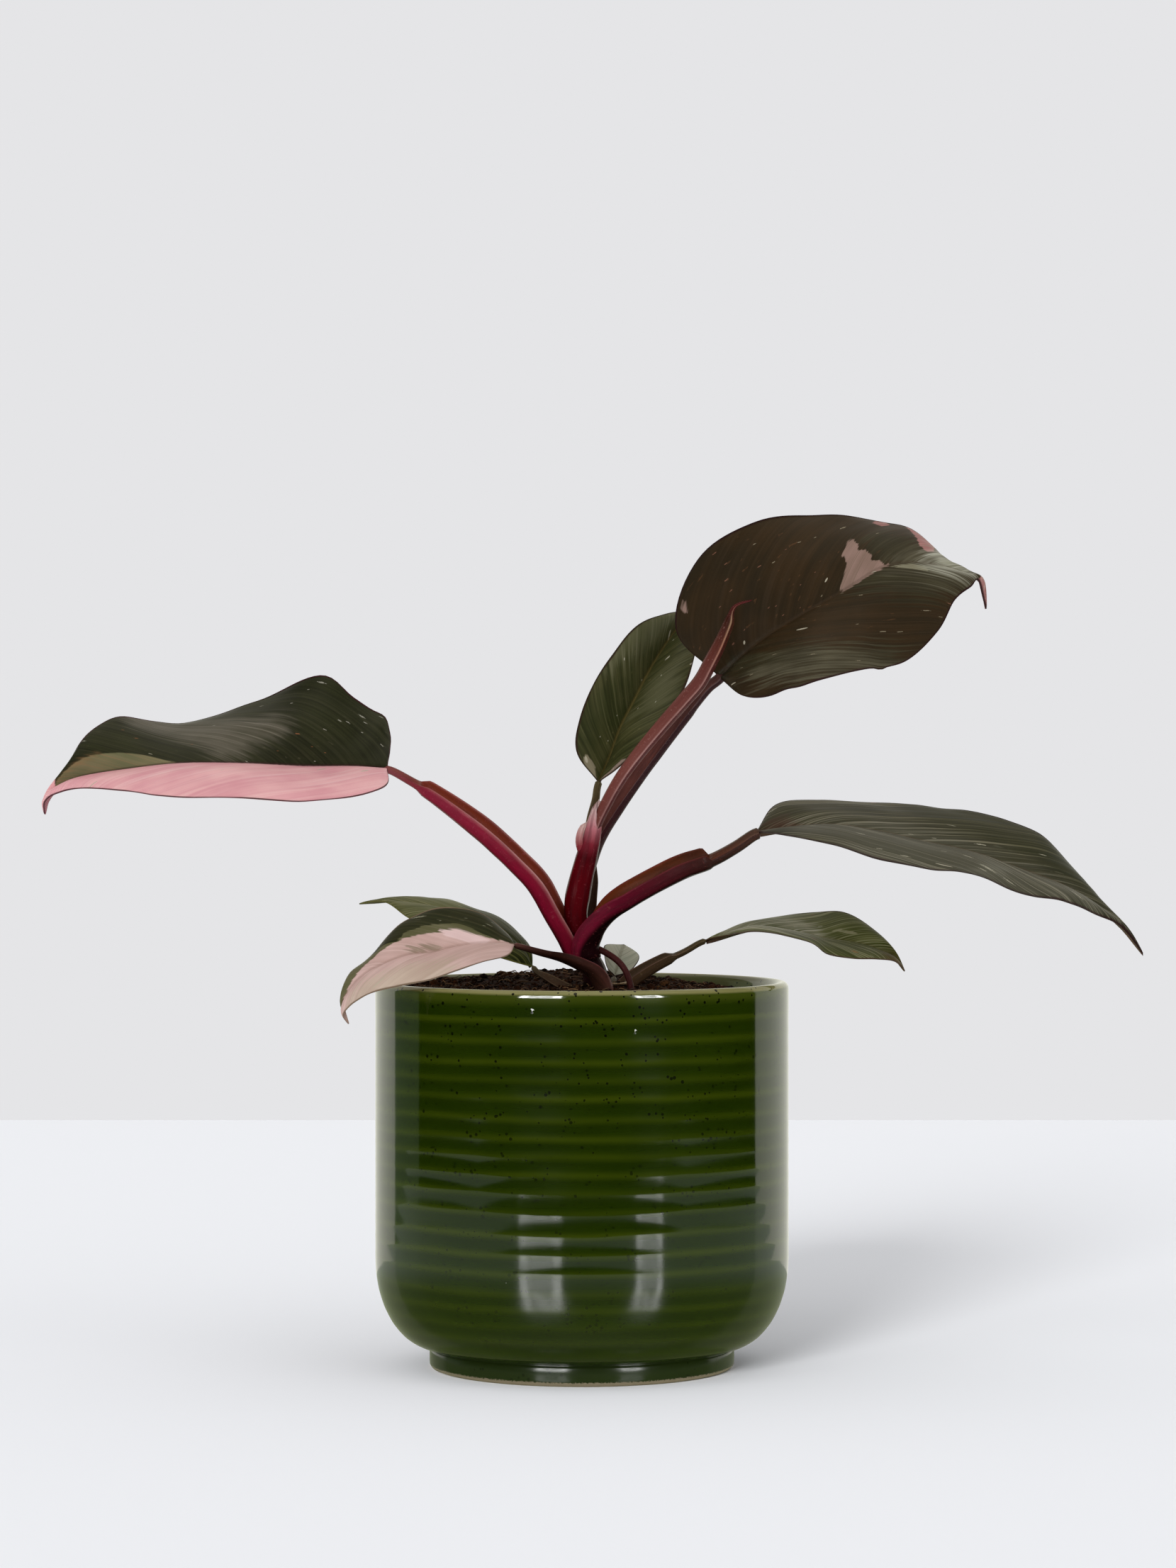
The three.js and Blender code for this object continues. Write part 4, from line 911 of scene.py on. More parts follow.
def mark_distance(outlines, along, across, run, side):
    """How deep each point of the grid lies inside the nearest of some outlines, which are given
    in shares along and across, and are measured in millimetres"""
    flat = np.stack([run.ravel(), side.ravel()], -1)
    best = np.full(len(flat), FAR_OUTSIDE)
    rows, columns = along[:, 0], across[0]
    for outline in outlines:
        start = np.array(outline, float)
        end = np.roll(start, -1, axis=0)
        reach = np.abs(end - start).max(axis=1)
        divided = [a + (b - a) * t for a, b, r in zip(start, end, reach)
                   for t in np.arange(0, 1, min(1, 0.04 / max(r, 1e-6)))]
        corners = []
        for share, place in divided:
            row = np.interp(share, rows, np.arange(len(rows)))
            low = min(int(row), len(rows) - 2)
            sides = side[low] + (side[low + 1] - side[low]) * (row - low)
            beyond = (share - np.clip(share, 0, 1)) * run.max()
            outside = (place - np.clip(place, -1, 1)) * 20
            corners.append((run[low, 0] + (run[low + 1, 0] - run[low, 0]) * (row - low) + beyond,
                            np.interp(place, columns, sides) + outside))
        best = np.maximum(best, outline_distance(flat, corners))
    return np.clip(best, FAR_OUTSIDE, -FAR_OUTSIDE)


def read_grid(field, u, v, share, place):
    """A field of the grid, read at a share along and across"""
    row = np.interp(share, u[:, 0], np.arange(len(u)))
    low = min(int(row), len(u) - 2)
    return float(np.interp(place, v[0], field[low] + (field[low + 1] - field[low]) * (row - low)))


def blade_piece(name, blade, look, seed):
    """A blade of two skins, with a keel under its midrib, ribbed and waved along its side veins"""
    u, v, points, normal, run, side, edge = blade_frame(blade)
    reach = np.abs(side)
    (left_start, left_end), (right_start, right_end) = look["sweep"]
    sweep = np.where(side < 0, left_start + (left_end - left_start) * u,
                     right_start + (right_end - right_start) * u)
    vein = run - sweep * reach
    gap = look["vein_gap"] * math.hypot(1, (left_start + left_end + right_start + right_end) / 4)
    ends = smoothstep(0, 0.12, u) * smoothstep(1, 0.9, u)
    swell = look["wave"] * layered_noise(run / 24 + seed, side / 15 + 3, seed, 2) * smoothstep(1, 6, reach)
    ribs = look["relief"] * np.cos(2 * math.pi * vein / gap) * smoothstep(2, 7, reach)
    ribs = ribs * smoothstep(0, 5, edge)
    frill = FRILL * value_noise(run / 9, np.sign(v) * 3 + 40, seed + 9) * smoothstep(6, 0, edge)
    groove = -look["groove"] * np.exp(-(side / GROOVE_WIDTH) ** 2) * (1 - 0.6 * u)
    fade = smoothstep(0, 3.5, edge + 0.8)
    relief = (swell + ribs + frill) * ends
    middle = points + normal * relief[..., None]
    thickness = BLADE_THICKNESS * (0.35 + 0.65 * smoothstep(0, EDGE_TAPER, edge))
    keel = (blade["keel"] * (1 - u) + LEAST_KEEL) * np.exp(-(side / look["keel_width"]) ** 2)
    upper = middle + normal * (thickness / 2 + groove * fade)[..., None]
    lower = middle - normal * (thickness / 2 + keel)[..., None]
    body = np.vstack([upper.reshape(-1, 3), lower.reshape(-1, 3)])
    top, walls = sheet_faces(*u.shape)
    faces = [top[:, ::-1], top + u.size, walls]
    marks = [mark_distance(outlines, u, v, run, side) for outlines in look["marks"]]
    marks += [np.full(u.size, FAR_OUTSIDE)] * (MOST_MARKS - len(marks))
    leaf = np.stack([u, v, np.ones_like(u)], -1).reshape(-1, 3)
    under = leaf * [1, 1, -1]
    sizes = np.stack([run, side, edge], -1).reshape(-1, 3)
    vectors = {"leaf": np.vstack([leaf, under]), "leaf_mm": np.vstack([sizes, sizes]),
               "marks": np.tile(np.stack(marks[:3], -1), (2, 1)),
               "more_marks": np.tile(np.stack(marks[3:], -1), (2, 1))}
    nicks = [[(read_grid(vein, u, v, *place[:2]), read_grid(side, u, v, *place[:2]), *place[2:])
              for place in look[kind]] for kind in ("pale_nicks", "warm_nicks")]
    add_piece(f"{name}_leaf_blade", body, faces, blade_material(name, look, seed, nicks),
              f"{name}_blade", vectors)


def blade_material(name, look, seed, nicks):
    s = Shader(f"{name}_blade")
    u, _, face = s.parts(s.attribute("leaf"))
    run, side, edge = s.parts(s.attribute("leaf_mm"))
    marks = s.parts(s.attribute("marks"))
    if len(look["marks"]) > len(marks):
        marks += s.parts(s.attribute("more_marks"))
    reach = s.math("ABSOLUTE", side)
    half = s.plus(s.times(s.math("SIGN", side), 13), seed * 3.7)
    (left_start, left_end), (right_start, right_end) = look["sweep"]

    def along_blade(start, end):
        return s.plus(s.times(u, end - start), start)

    sweep = along_blade((left_start + right_start) / 2, (left_end + right_end) / 2)
    skew = along_blade((right_start - left_start) / 2, (right_end - left_end) / 2)
    vein = s.minus(s.minus(run, s.times(reach, sweep)), s.times(side, skew))
    grain = 1 / math.hypot(1, (left_start + left_end + right_start + right_end) / 4)

    def streaks(across, along, shift, detail=2):
        """Noise drawn out along the side veins"""
        place = s.vector(s.times(vein, across * grain), s.times(reach, along), s.plus(half, shift))
        return s.noise(place, 1, detail, 0.55)

    hair = streaks(1.7, 0.035, 0, 4)
    band = streaks(0.5, 0.03, 20)
    cloud = s.noise(s.vector(s.times(run, 0.06), s.times(side, 0.06), half), 1, 2)
    fleck = s.noise(s.vector(s.times(vein, 0.9 * grain), s.times(reach, 0.5), half), 1, 2)

    def toned(tones, share, dark=0):
        """Two tones by broad bands, with fine streaks of the third and dark ones"""
        broad = s.plus(s.times(band, 0.45), s.times(cloud, 0.55))
        colour = s.mix(s.fit(broad, 0.36, 0.64), tones[0], tones[1])
        if dark:
            colour = s.mix(s.fit(hair, 0.5, 0.36, 0, dark), colour, (12, 10, 5))
        return s.mix(s.fit(hair, 0.5, 0.68, 0, share), colour, tones[2])

    colour = toned(look["tones"], look["streak"], look["dark_streak"])
    colour = s.mix(s.fit(fleck, 0.69, 0.74, 0, look["flecks"]), colour, look["fleck"])
    # Marks: the leaf's own patches, and zones of painted sheen
    for (tones, ragged, soft, cover), distance in zip(look["mark_looks"], marks):
        torn = s.plus(distance, s.fit(streaks(1.1, 0.1, 30, 3), 0.25, 0.75, -ragged, ragged))
        colour = s.mix(s.fit(torn, -soft, soft, 0, cover), colour, toned(tones, look["mark_streak"]))
    away, draw = s.cells(s.vector(s.times(vein, 0.25 * grain), s.times(reach, 0.085), half), 1)
    scuff = s.math("LESS_THAN", away, s.fit(s.parts(draw)[0], 0.45, 1, 0, look["scuffs"]))
    colour = s.mix(s.times(scuff, 0.8), colour, look["scuff"])
    spot_place = s.vector(s.times(vein, grain), side, 0.0)
    worn = s.fit(s.noise(s.vector(run, side, half), 2.2, 1), 0.3, 0.7, -0.35, 0.35)
    for places, tone in zip(nicks, (look["pale_nick"], look["warm_nick"])):
        nearest = 9.0
        for vein_at, side_at, length, width in places:
            sizes = look["nick_width"] * width, look["nick_length"] * length * grain
            off = s.vector_math("SUBTRACT", spot_place, (vein_at * grain, side_at, 0))
            off = s.vector_math("MULTIPLY", off, (1 / sizes[0], 1 / sizes[1], 0))
            nearest = s.math("MINIMUM", s.vector_math("LENGTH", off), nearest)
        colour = s.mix(s.fit(s.plus(nearest, worn), 1.3, 0.7, 0, 0.75), colour, tone)
    colour = s.mix(s.fit(reach, 1.0, 0.35, 0, look["rib_share"]), colour, look["rib"])
    rim = s.fit(s.plus(edge, s.fit(cloud, 0.3, 0.7, -0.2, 0.2)), look["margin_width"], 0.3, 0, 0.95)
    colour = s.mix(rim, colour, look["margin"])
    back = s.mix(s.fit(band, 0.35, 0.65), look["under"][0], look["under"][1])
    back = s.mix(s.fit(reach, 1.8, 0.6), back, look["under"][2])
    # On the back the marks show paler, the painted sheen zones among them
    for (tones, _, soft, cover), distance in zip(look["mark_looks"], marks):
        pale = s.mix(0.35, tones[1], look["under"][1])
        back = s.mix(s.fit(distance, -0.4 - soft, 0.4 + soft, 0, 0.85 * cover), back, pale)
    colour = s.mix(s.math("LESS_THAN", face, 0.0), colour, back)
    roughness = s.fit(s.plus(s.times(hair, 0.5), s.times(band, 0.5)), 0.3, 0.7,
                      look["gloss"] - 0.05, look["gloss"] + 0.07)
    normal = s.bump(s.plus(s.times(hair, 0.4), band), GRAIN["blade"])
    return s.finish(colour, Roughness=roughness, Normal=normal, IOR=LEAF_IOR,
                    Specular_IOR_Level=look["shine"])


# Stems

def section_at(sections, at):
    """The section's sizes at shares of the length, eased where two sections are close together"""
    table = np.array(sections, float)
    share = np.interp(at, table[:, 0], np.arange(len(table)))
    low = np.minimum(share.astype(int), len(table) - 2)
    part = smoothstep(0, 1, share - low)
    span = (table[low + 1, 0] - table[low, 0])[:, None]
    eased = np.where(span[:, 0] < 0.08, part, share - low)[:, None]
    return (table[low] + (table[low + 1] - table[low]) * eased)[:, 1:]


def section_outline(half_width, depth, wing, channel):
    """Round back, two wings and a groove between them, or a dome where channel is negative"""
    outline = []
    for i in range(BACK_FACETS + 1):
        angle = (i / BACK_FACETS - 0.5) * math.pi
        outline.append((half_width * math.sin(angle), -depth * math.cos(angle)))
    inner = half_width - min(SHEATH_WALL, 0.45 * half_width)
    outline.append((0.97 * half_width, wing))
    for x in (inner, 0.45 * half_width, 0, -0.45 * half_width, -inner):
        outline.append((x, wing - channel * (1 - (x / half_width) ** 2)))
    outline.append((-0.97 * half_width, wing))
    return np.array(outline)


def rounded_outline(outline):
    """The outline with its corners eased, and OUTLINE_SPLIT times the points"""
    before, start, end, after = (np.roll(outline, shift, axis=0) for shift in (1, 0, -1, -2))
    points = []
    for t in np.arange(OUTLINE_SPLIT) / OUTLINE_SPLIT:
        straight = start + (end - start) * t
        points.append(0.6 * spline(before, start, end, after, t) + 0.4 * straight)
    return np.stack(points, 1).reshape(-1, 2)


def stem_piece(name, stem, look, slot, node, seed, torn=0.0, seam=0.0):
    """A stem of changing section along a route, with a torn end or a rolled seam where asked"""
    route, length = route_curve(stem["route"])
    rings = max(8, round(length / STEM_STEP))
    at = np.linspace(0, 1, rings)
    index = at * (len(route) - 1)
    centre = np.stack([np.interp(index, np.arange(len(route)), route[:, k]) for k in range(3)], -1)
    forward = unit(np.gradient(centre, axis=0))
    foot, upper = (np.array(side, float) for side in stem["open"])
    turn = np.clip(at / FOOT_SHARE, 0, 1)[:, None]
    facing = foot * (1 - turn) + upper * turn
    up = unit(facing - (facing * forward).sum(1, keepdims=True) * forward)
    side = np.cross(up, forward)
    sections = section_at(stem["sections"], at)
    close = (smoothstep(0, STEM_END, at * length + 0.25)
             * smoothstep(0, STEM_END, (1 - at) * length + 0.25))
    points, about = [], []
    for k in range(rings):
        outline = rounded_outline(section_outline(*sections[k])) * close[k]
        count = len(outline)
        place = np.arange(count) / count
        if seam:
            twist = (place - SEAM_PLACE - SEAM_TWIST * at[k]) % 1
            outline = outline * (1 + seam * (0.5 - twist))[:, None]
        rough = value_noise(place * NOISE_SIZE / 8, np.full(count, at[k] * length / 6), seed)
        outline = outline * (1 + STEM_ROUGH * rough)[:, None]
        spot = centre[k] + side[k] * outline[:, :1] + up[k] * outline[:, 1:]
        if torn:
            tear = layered_noise(place * NOISE_SIZE / 5, np.full(count, 3.3), seed + 5, 3)
            spot = spot + forward[k] * (torn * tear * smoothstep(0.8, 1, at[k]))[:, None]
        points.append(spot)
        about.append(place)
    points, about = np.array(points), np.array(about)
    count = points.shape[1]
    tints = stem_tints(look, at, about)
    values = np.stack([np.repeat(at[:, None] * length, count, axis=1), about,
                       np.repeat(at[:, None], count, axis=1)], -1).reshape(-1, 3)
    body = np.vstack([points.reshape(-1, 3), centre[:1], centre[-1:]])
    values = np.vstack([values, values[:1], values[-1:]])
    tints = np.vstack([tints.reshape(-1, 3), tints[0, :1], tints[-1, :1]])
    return add_piece(name, body, tube_faces(rings, count), stem_material(name, look, seed), node,
                     {"stem": values}, {"tint": tints})


def stem_tints(look, at, about):
    """Colours along the stem, for its back, its two sides, its groove and the edges of its wings,
    whose paler colour is partly a painted highlight
    """
    stops = look["stops"]
    marks = [stop[0] for stop in stops]

    def along(part):
        table = np.array([linear(stop[1][part]) for stop in stops])
        return np.stack([np.interp(at, marks, table[:, k]) for k in range(3)], -1)[:, None, :]

    back, near, groove, far, edge = (along(part) for part in range(5))
    places = np.array([0, 0.025, 0.085, 0.31, 0.385, 0.475, 0.5, 0.53, 0.71, 0.89, 0.92, 0.945, 1])
    order = [far, far, back, back, near, near, edge, groove, groove, groove, edge, far, far]
    tints = np.zeros(about.shape + (3,))
    for k in range(len(places) - 1):
        inside = (about >= places[k]) & (about < places[k + 1])
        share = ((about - places[k]) / (places[k + 1] - places[k]))[..., None]
        blended = order[k] * (1 - share) + order[k + 1] * share
        tints = np.where(inside[..., None], blended, tints)
    return tints


def stem_material(name, look, seed):
    s = Shader(name)
    run, about, _ = s.parts(s.attribute("stem"))
    circle = s.times(about, 2 * math.pi)

    def around(reach, along):
        """A place on a cylinder, so that noise closes around the stem"""
        return s.vector(s.times(s.math("COSINE", circle), reach), s.times(s.math("SINE", circle), reach),
                        s.plus(s.times(run, along), seed))

    streak = s.noise(around(2.6, 0.09), 1, 4, 0.6)
    fleck = s.noise(around(1.6, 0.7), 2.2, 2)
    tint = s.attribute("tint", "Color")
    colour = s.mix(s.fit(streak, 0.35, 0.72, 0.0, look["streak"]), tint, look["streak_tone"])
    colour = s.mix(s.fit(fleck, 0.62, 0.74, 0, 0.35), colour, look["fleck"])
    roughness = s.fit(streak, 0.3, 0.7, look["gloss"] - 0.04, look["gloss"] + 0.1)
    normal = s.bump(streak, GRAIN["stem"])
    return s.finish(colour, Roughness=roughness, Normal=normal, IOR=LEAF_IOR, Specular_IOR_Level=0.15)


# Looks of the blades. A mark is a list of outlines in shares along and across. Each has its look:
# three tones (two by broad bands, one for fine streaks), how ragged and how soft its edge is in
# millimetres, and how much it covers. Most marks are the leaf's own patches; the soft, pale and
# streaked ones noted below are painted sheen. The sweep bends the side veins of each half, at base and tip.

SHARP = 0.3


def blade_look(**changes):
    look = {"slot": "blade_green", "sweep": ((0.6, 1.6), (0.6, 1.6)), "vein_gap": 5.5, "wave": 0.5,
            "relief": 0.04, "groove": 0.35, "keel_width": 1.1, "streak": 0.5, "mark_streak": 0.5,
            "flecks": 0.25, "fleck": (120, 116, 92), "scuffs": 0.1, "scuff": (196, 188, 164), "gloss": 0.42,
            "pale_nicks": [], "warm_nicks": [], "pale_nick": (186, 180, 156), "warm_nick": (146, 92, 58),
            "dark_streak": 0.3, "shine": 0.25, "nick_width": 0.48, "nick_length": 0.56,
            "rib_share": 0.3, "rib": (96, 84, 52), "margin": (46, 22, 22), "margin_width": 0.95,
            "under": [(72, 76, 54), (86, 88, 64), (110, 84, 66)], "marks": [], "mark_looks": []}
    return {**look, **changes}


LOOKS = {
    "left": blade_look(
        slot="blade_half_pink", sweep=((1.2, 2.4), (0.7, 3.0)),
        tones=[(40, 42, 23), (50, 52, 28), (66, 64, 44)], fleck=(96, 92, 70), streak=0.4,
        margin=(70, 22, 34), margin_width=0.8, rib=(56, 22, 26), rib_share=0.6, gloss=0.4, wave=0.4,
        under=[(66, 50, 40), (80, 60, 50), (120, 64, 64)],
        # The first mark is painted sheen: a pale streaked zone on the dark half
        marks=[[[(0.489, 1.1), (0.436, 0.92), (0.393, 0.77), (0.351, 0.66), (0.301, 0.57), (0.271, 0.42),
                 (0.278, 0.31), (0.323, 0.22), (0.343, 0.05), (0.378, 0.05), (0.416, 0.29), (0.464, 0.56),
                 (0.53, 0.77), (0.56, 1.1)]],
               [[(-0.1, -1.4), (1.1, -1.4), (1.1, 1.4), (0.81, 1.4), (0.79, 0.5), (0.79, 0), (-0.1, 0)]],
               [[(0.446, 0.0), (0.476, 0.06), (0.509, 0.14), (0.549, 0.21), (0.602, 0.29), (0.647, 0.36),
                 (0.692, 0.4), (0.74, 0.4), (0.784, 0.3), (0.8, 0.0)]],
               [[(0.62, 0.33), (0.66, 0.36), (0.72, 0.37), (0.77, 0.3), (0.72, 0.28), (0.66, 0.3)]]],
        # The first tones are those of the painted sheen
        mark_looks=[([(102, 96, 82), (76, 72, 56), (150, 142, 126)], 3, 5, 0.85),
                    ([(250, 190, 190), (234, 162, 170), (254, 210, 208)], 0.12, SHARP, 1),
                    ([(130, 122, 88), (106, 108, 74), (160, 120, 84)], 0.2, SHARP, 1),
                    ([(146, 108, 68), (124, 108, 72), (160, 96, 60)], 1, 2, 0.6)],
        pale_nick=(170, 166, 150),
        pale_nicks=[(0.231, 0.91, 1.9, 0.35), (0.273, 0.706, 0.8, 0.3), (0.153, 0.783, 1.8, 0.4),
                    (0.185, 0.575, 1.3, 0.28), (0.17, 0.599, 1.2, 0.28), (0.203, 0.398, 1, 0.25),
                    (0.135, 0.532, 0.8, 0.3), (0.12, 0.936, 1.2, 0.25), (0.075, 0.609, 1.8, 0.2),
                    (0.657, 0.853, 1, 0.5), (0.326, 0.017, 1.2, 0.35), (0.203, 0.047, 0.6, 0.3),
                    (0.323, 0.843, 0.6, 0.25), (0.14, 0.706, 1.2, 0.25), (0.251, 0.839, 0.5, 0.25),
                    (0.391, 0.639, 0.6, 0.3)],
        warm_nicks=[(0.248, 0.308, 1.1, 0.5), (0.529, 0.468, 0.7, 0.5), (0.188, 0.151, 0.5, 0.35),
                    (0.216, 0.191, 0.5, 0.3), (0.276, 0.134, 0.4, 0.3), (0.554, 0.649, 0.5, 0.3),
                    (0.424, 0.304, 0.4, 0.3)]),
    "top": blade_look(
        slot="blade_bronze", sweep=((0.5, 1.8), (1.3, 3.0)), tones=[(60, 44, 24), (50, 39, 22), (68, 52, 34)],
        flecks=0.3, fleck=(120, 80, 50), margin=(46, 20, 20), rib=(74, 58, 42), wave=0.6, gloss=0.4,
        under=[(66, 44, 34), (80, 54, 42), (120, 66, 60)],
        marks=[[[(0.466, -0.51), (0.536, -0.7), (0.66, -0.5), (0.74, -0.3), (0.86, -0.6), (0.86, 0.9),
                 (0.787, 1.1), (0.679, 0.79), (0.564, 0.49), (0.456, 0.17), (0.42, 0.02), (0.549, -0.02),
                 (0.506, -0.06), (0.489, -0.28)],
                [(0.0, -0.2), (0.1, 0.0), (0.175, 0.2), (0.288, 0.5), (0.363, 0.7), (0.484, 0.84), (0.5, 1.1),
                 (0.351, 1.0), (0.231, 0.82), (0.138, 0.55), (0.03, 0.3)]],
               # Painted sheen: a grey-green streaked band, mostly on the lower half
               [[(0.6, -0.1), (0.66, -0.3), (0.74, -0.24), (0.86, -0.6), (0.86, 0.7), (0.78, 0.9), (0.7, 0.6),
                 (0.62, 0.25), (0.54, 0.06), (0.56, -0.03)],
                [(0.175, 0.45), (0.3, 0.68), (0.42, 0.86), (0.5, 1.1), (0.351, 0.98), (0.231, 0.82),
                 (0.138, 0.6)]],
               [[(0.398, 0.02), (0.398, -0.04), (0.409, -0.1), (0.429, -0.23), (0.426, -0.36), (0.441, -0.51),
                 (0.456, -0.55), (0.464, -0.45), (0.462, -0.36), (0.476, -0.33), (0.486, -0.22),
                 (0.484, -0.14), (0.506, -0.1), (0.515, 0.02)],
                [(0.395, -0.02), (0.53, -0.02), (0.53, 0.02), (0.395, 0.02)],
                [(0.139, -0.96), (0.142, -0.92), (0.139, -0.873), (0.131, -0.826), (0.128, -0.88),
                 (0.131, -0.93)]],
               [[(0.519, 0.03), (0.546, 0.03), (0.609, 0.04), (0.645, 0.11), (0.647, 0.24), (0.602, 0.14)]],
               [[(0.504, -0.87), (0.53, -0.8), (0.551, -0.9), (0.53, -1.2)],
                [(0.6, -1.2), (0.607, -0.96), (0.63, -0.7), (0.639, -0.45), (0.659, -0.31), (0.684, -0.41),
                 (0.7, -1.2)],
                [(0.88, -1.4), (1.1, -1.4), (1.1, 1.4), (0.88, 1.4)]],
               # Painted sheen near the tip, along the midrib
               [[(0.7, -0.7), (0.76, -0.35), (0.84, -0.1), (0.91, 0), (0.86, 0.3), (0.78, 0.5), (0.7, 0.3),
                 (0.64, 0.1), (0.7, -0.05), (0.67, -0.25)]]],
        mark_looks=[([(62, 58, 38), (52, 48, 31), (84, 78, 58)], 4, 4, 0.9),
                    # Tones of the painted sheen band
                    ([(98, 92, 72), (78, 72, 54), (120, 114, 94)], 6, 6, 0.8),
                    ([(160, 130, 118), (140, 114, 100), (112, 96, 74)], 0.6, SHARP, 1),
                    ([(140, 136, 112), (124, 118, 94), (158, 152, 130)], 0.4, SHARP, 1),
                    ([(176, 122, 118), (152, 102, 96), (190, 140, 130)], 0.4, SHARP, 1),
                    # Tones of the painted sheen near the tip
                    ([(188, 186, 168), (150, 148, 126), (224, 222, 206)], 3, 4, 0.95)],
        pale_nick=(156, 144, 118), warm_nick=(140, 96, 76), streak=0.35, dark_streak=0.1,
        pale_nicks=[(0.441, -0.759, 1.2, 0.7), (0.514, -0.585, 0.7, 0.35), (0.351, -0.652, 0.5, 0.45),
                    (0.293, -0.538, 0.5, 0.5), (0.278, -0.786, 0.5, 0.4), (0.383, -0.672, 0.6, 0.3),
                    (0.439, 0.184, 1.4, 0.3), (0.396, 0.03, 1.2, 0.25), (0.336, 0.025, 1.8, 0.2),
                    (0.469, 0.666, 1.3, 0.4), (0.509, 0.732, 0.7, 0.3), (0.416, 0.505, 0.4, 0.35),
                    (0.213, 0.398, 1.3, 0.25), (0.303, 0.659, 1.8, 0.22), (0.108, 0.291, 1.4, 0.2),
                    (0.14, 0.538, 1.2, 0.28), (0.393, 0.9, 0.8, 0.25), (0.589, 0.719, 0.9, 0.35),
                    (0.622, 0.906, 0.6, 0.3), (0.351, -0.057, 0.7, 0.25)],
        warm_nicks=[(0.208, -0.632, 0.7, 0.45), (0.268, -0.565, 0.6, 0.5),
                    (0.241, -0.197, 0.5, 0.35), (0.256, -0.177, 0.6, 0.35), (0.258, -0.077, 0.5, 0.35),
                    (0.128, -0.171, 0.9, 0.45), (0.223, -0.759, 0.5, 0.4), (0.218, -0.913, 0.5, 0.4),
                    (0.203, -0.525, 0.5, 0.3), (0.323, -0.612, 0.4, 0.3), (0.358, -0.291, 0.4, 0.3),
                    (0.298, -0.057, 0.4, 0.3), (0.17, -0.177, 0.5, 0.3), (0.17, -0.505, 0.4, 0.3),
                    (0.321, -0.237, 0.4, 0.3), (0.672, 0.933, 1.1, 0.45)]),
    "right": blade_look(
        sweep=((2.2, 3.4), (2.2, 3.4)), tones=[(50, 50, 32), (68, 66, 46), (136, 130, 106)],
        fleck=(146, 142, 118), streak=0.8, mark_streak=0.7, margin_width=1.6, shine=0.13,
        nick_width=0.9, nick_length=0.9, rib=(92, 74, 54),
        marks=[[[(0.282, -1.2), (0.286, -0.94), (0.296, -0.94), (0.3, -1.2)]],
               [[(-0.1, -0.5), (0.1, -0.3), (0.14, 0), (0.1, 0.3), (-0.1, 0.5)]],
               # Painted sheen over the near half
               [[(0.12, -0.1), (0.3, -0.3), (0.45, -0.15), (0.62, -0.1), (0.9, 0), (0.8, 0.9),
                 (0.6, 1.1), (0.3, 1.1), (0.12, 0.6)]],
               # A small streak of painted sheen
               [[(0.52, 0.5), (0.56, 0.5), (0.56, 0.85), (0.5, 0.85)]],
               [[(0.3, -1.3), (0.38, -0.45), (0.55, -0.3), (0.75, -0.25), (0.95, -0.3), (1, -1.3)]]],
        mark_looks=[([(176, 130, 118), (166, 120, 108), (190, 150, 138)], 0.3, SHARP, 1),
                    ([(84, 56, 46), (78, 58, 46), (108, 80, 68)], 3, 3, 0.7),
                    # These two are the tones of the painted sheen
                    ([(88, 86, 70), (78, 76, 60), (160, 154, 134)], 5, 5, 0.8),
                    ([(90, 88, 72), (104, 102, 86), (178, 176, 160)], 3, 2, 0.6),
                    ([(40, 44, 22), (52, 52, 30), (100, 96, 68)], 3, 4, 0.85)],
        pale_nicks=[(0.07, -0.866, 1.4, 0.35), (0.055, -0.906, 1, 0.3), (0.085, -0.786, 0.9, 0.25),
                    (0.446, -0.405, 0.5, 0.5), (0.511, -0.164, 1.6, 0.4), (0.519, 0.706, 1.8, 0.45),
                    (0.526, 0.739, 1.3, 0.4), (0.511, 0.793, 1, 0.3), (0.564, 0.833, 1.4, 0.4),
                    (0.724, 0.592, 1.6, 0.4), (0.358, 0.819, 1.2, 0.35), (0.376, -0.064, 0.4, 0.3),
                    (0.484, 0.538, 1.6, 0.3), (0.266, 0.411, 1.2, 0.3), (0.421, -0.084, 0.6, 0.3),
                    (0.637, -0.418, 1, 0.25), (0.303, 0.759, 0.8, 0.3), (0.734, 0.632, 1, 0.4),
                    (0.155, 0.278, 0.5, 0.3), (0.436, 0.518, 0.5, 0.3)]),
    "back": blade_look(
        sweep=((0.8, 1.8), (0.8, 1.8)), tones=[(56, 60, 28), (76, 75, 42), (104, 100, 66)],
        margin=(56, 40, 26), rib=(112, 96, 48), rib_share=0.5, scuffs=0.11, fleck=(140, 132, 84),
        marks=[[[(0.125, -0.72), (0.1, -0.5), (0.07, -0.4), (0.02, -0.6), (0.03, -0.95), (0.085, -0.9)]],
               [[(0.01, 0.5), (0.07, 0.7), (0.14, 0.8), (0.16, 1.3), (0.0, 1.3)]],
               # Painted sheen along the left half towards the tip, and a patch of it on the right half
               [[(0.5, -1.2), (0.45, -0.8), (0.6, -0.4), (0.75, -0.2), (0.95, 0), (1.1, -1.2)],
                [(0.3, 0.2), (0.5, 0.3), (0.6, 0.7), (0.4, 0.8)]]],
        mark_looks=[([(150, 140, 112), (140, 130, 104), (170, 160, 136)], 0.5, SHARP, 1),
                    ([(150, 130, 116), (130, 112, 98), (170, 150, 134)], 0.5, SHARP, 1),
                    # Tones of the painted sheen
                    ([(104, 102, 72), (88, 88, 58), (124, 122, 96)], 4, 5, 0.8)],
        pale_nick=(214, 206, 184),
        pale_nicks=[(0.576, 0.304, 1.7, 0.8), (0.667, 0.164, 0.5, 0.35), (0.494, 0.365, 0.5, 0.35),
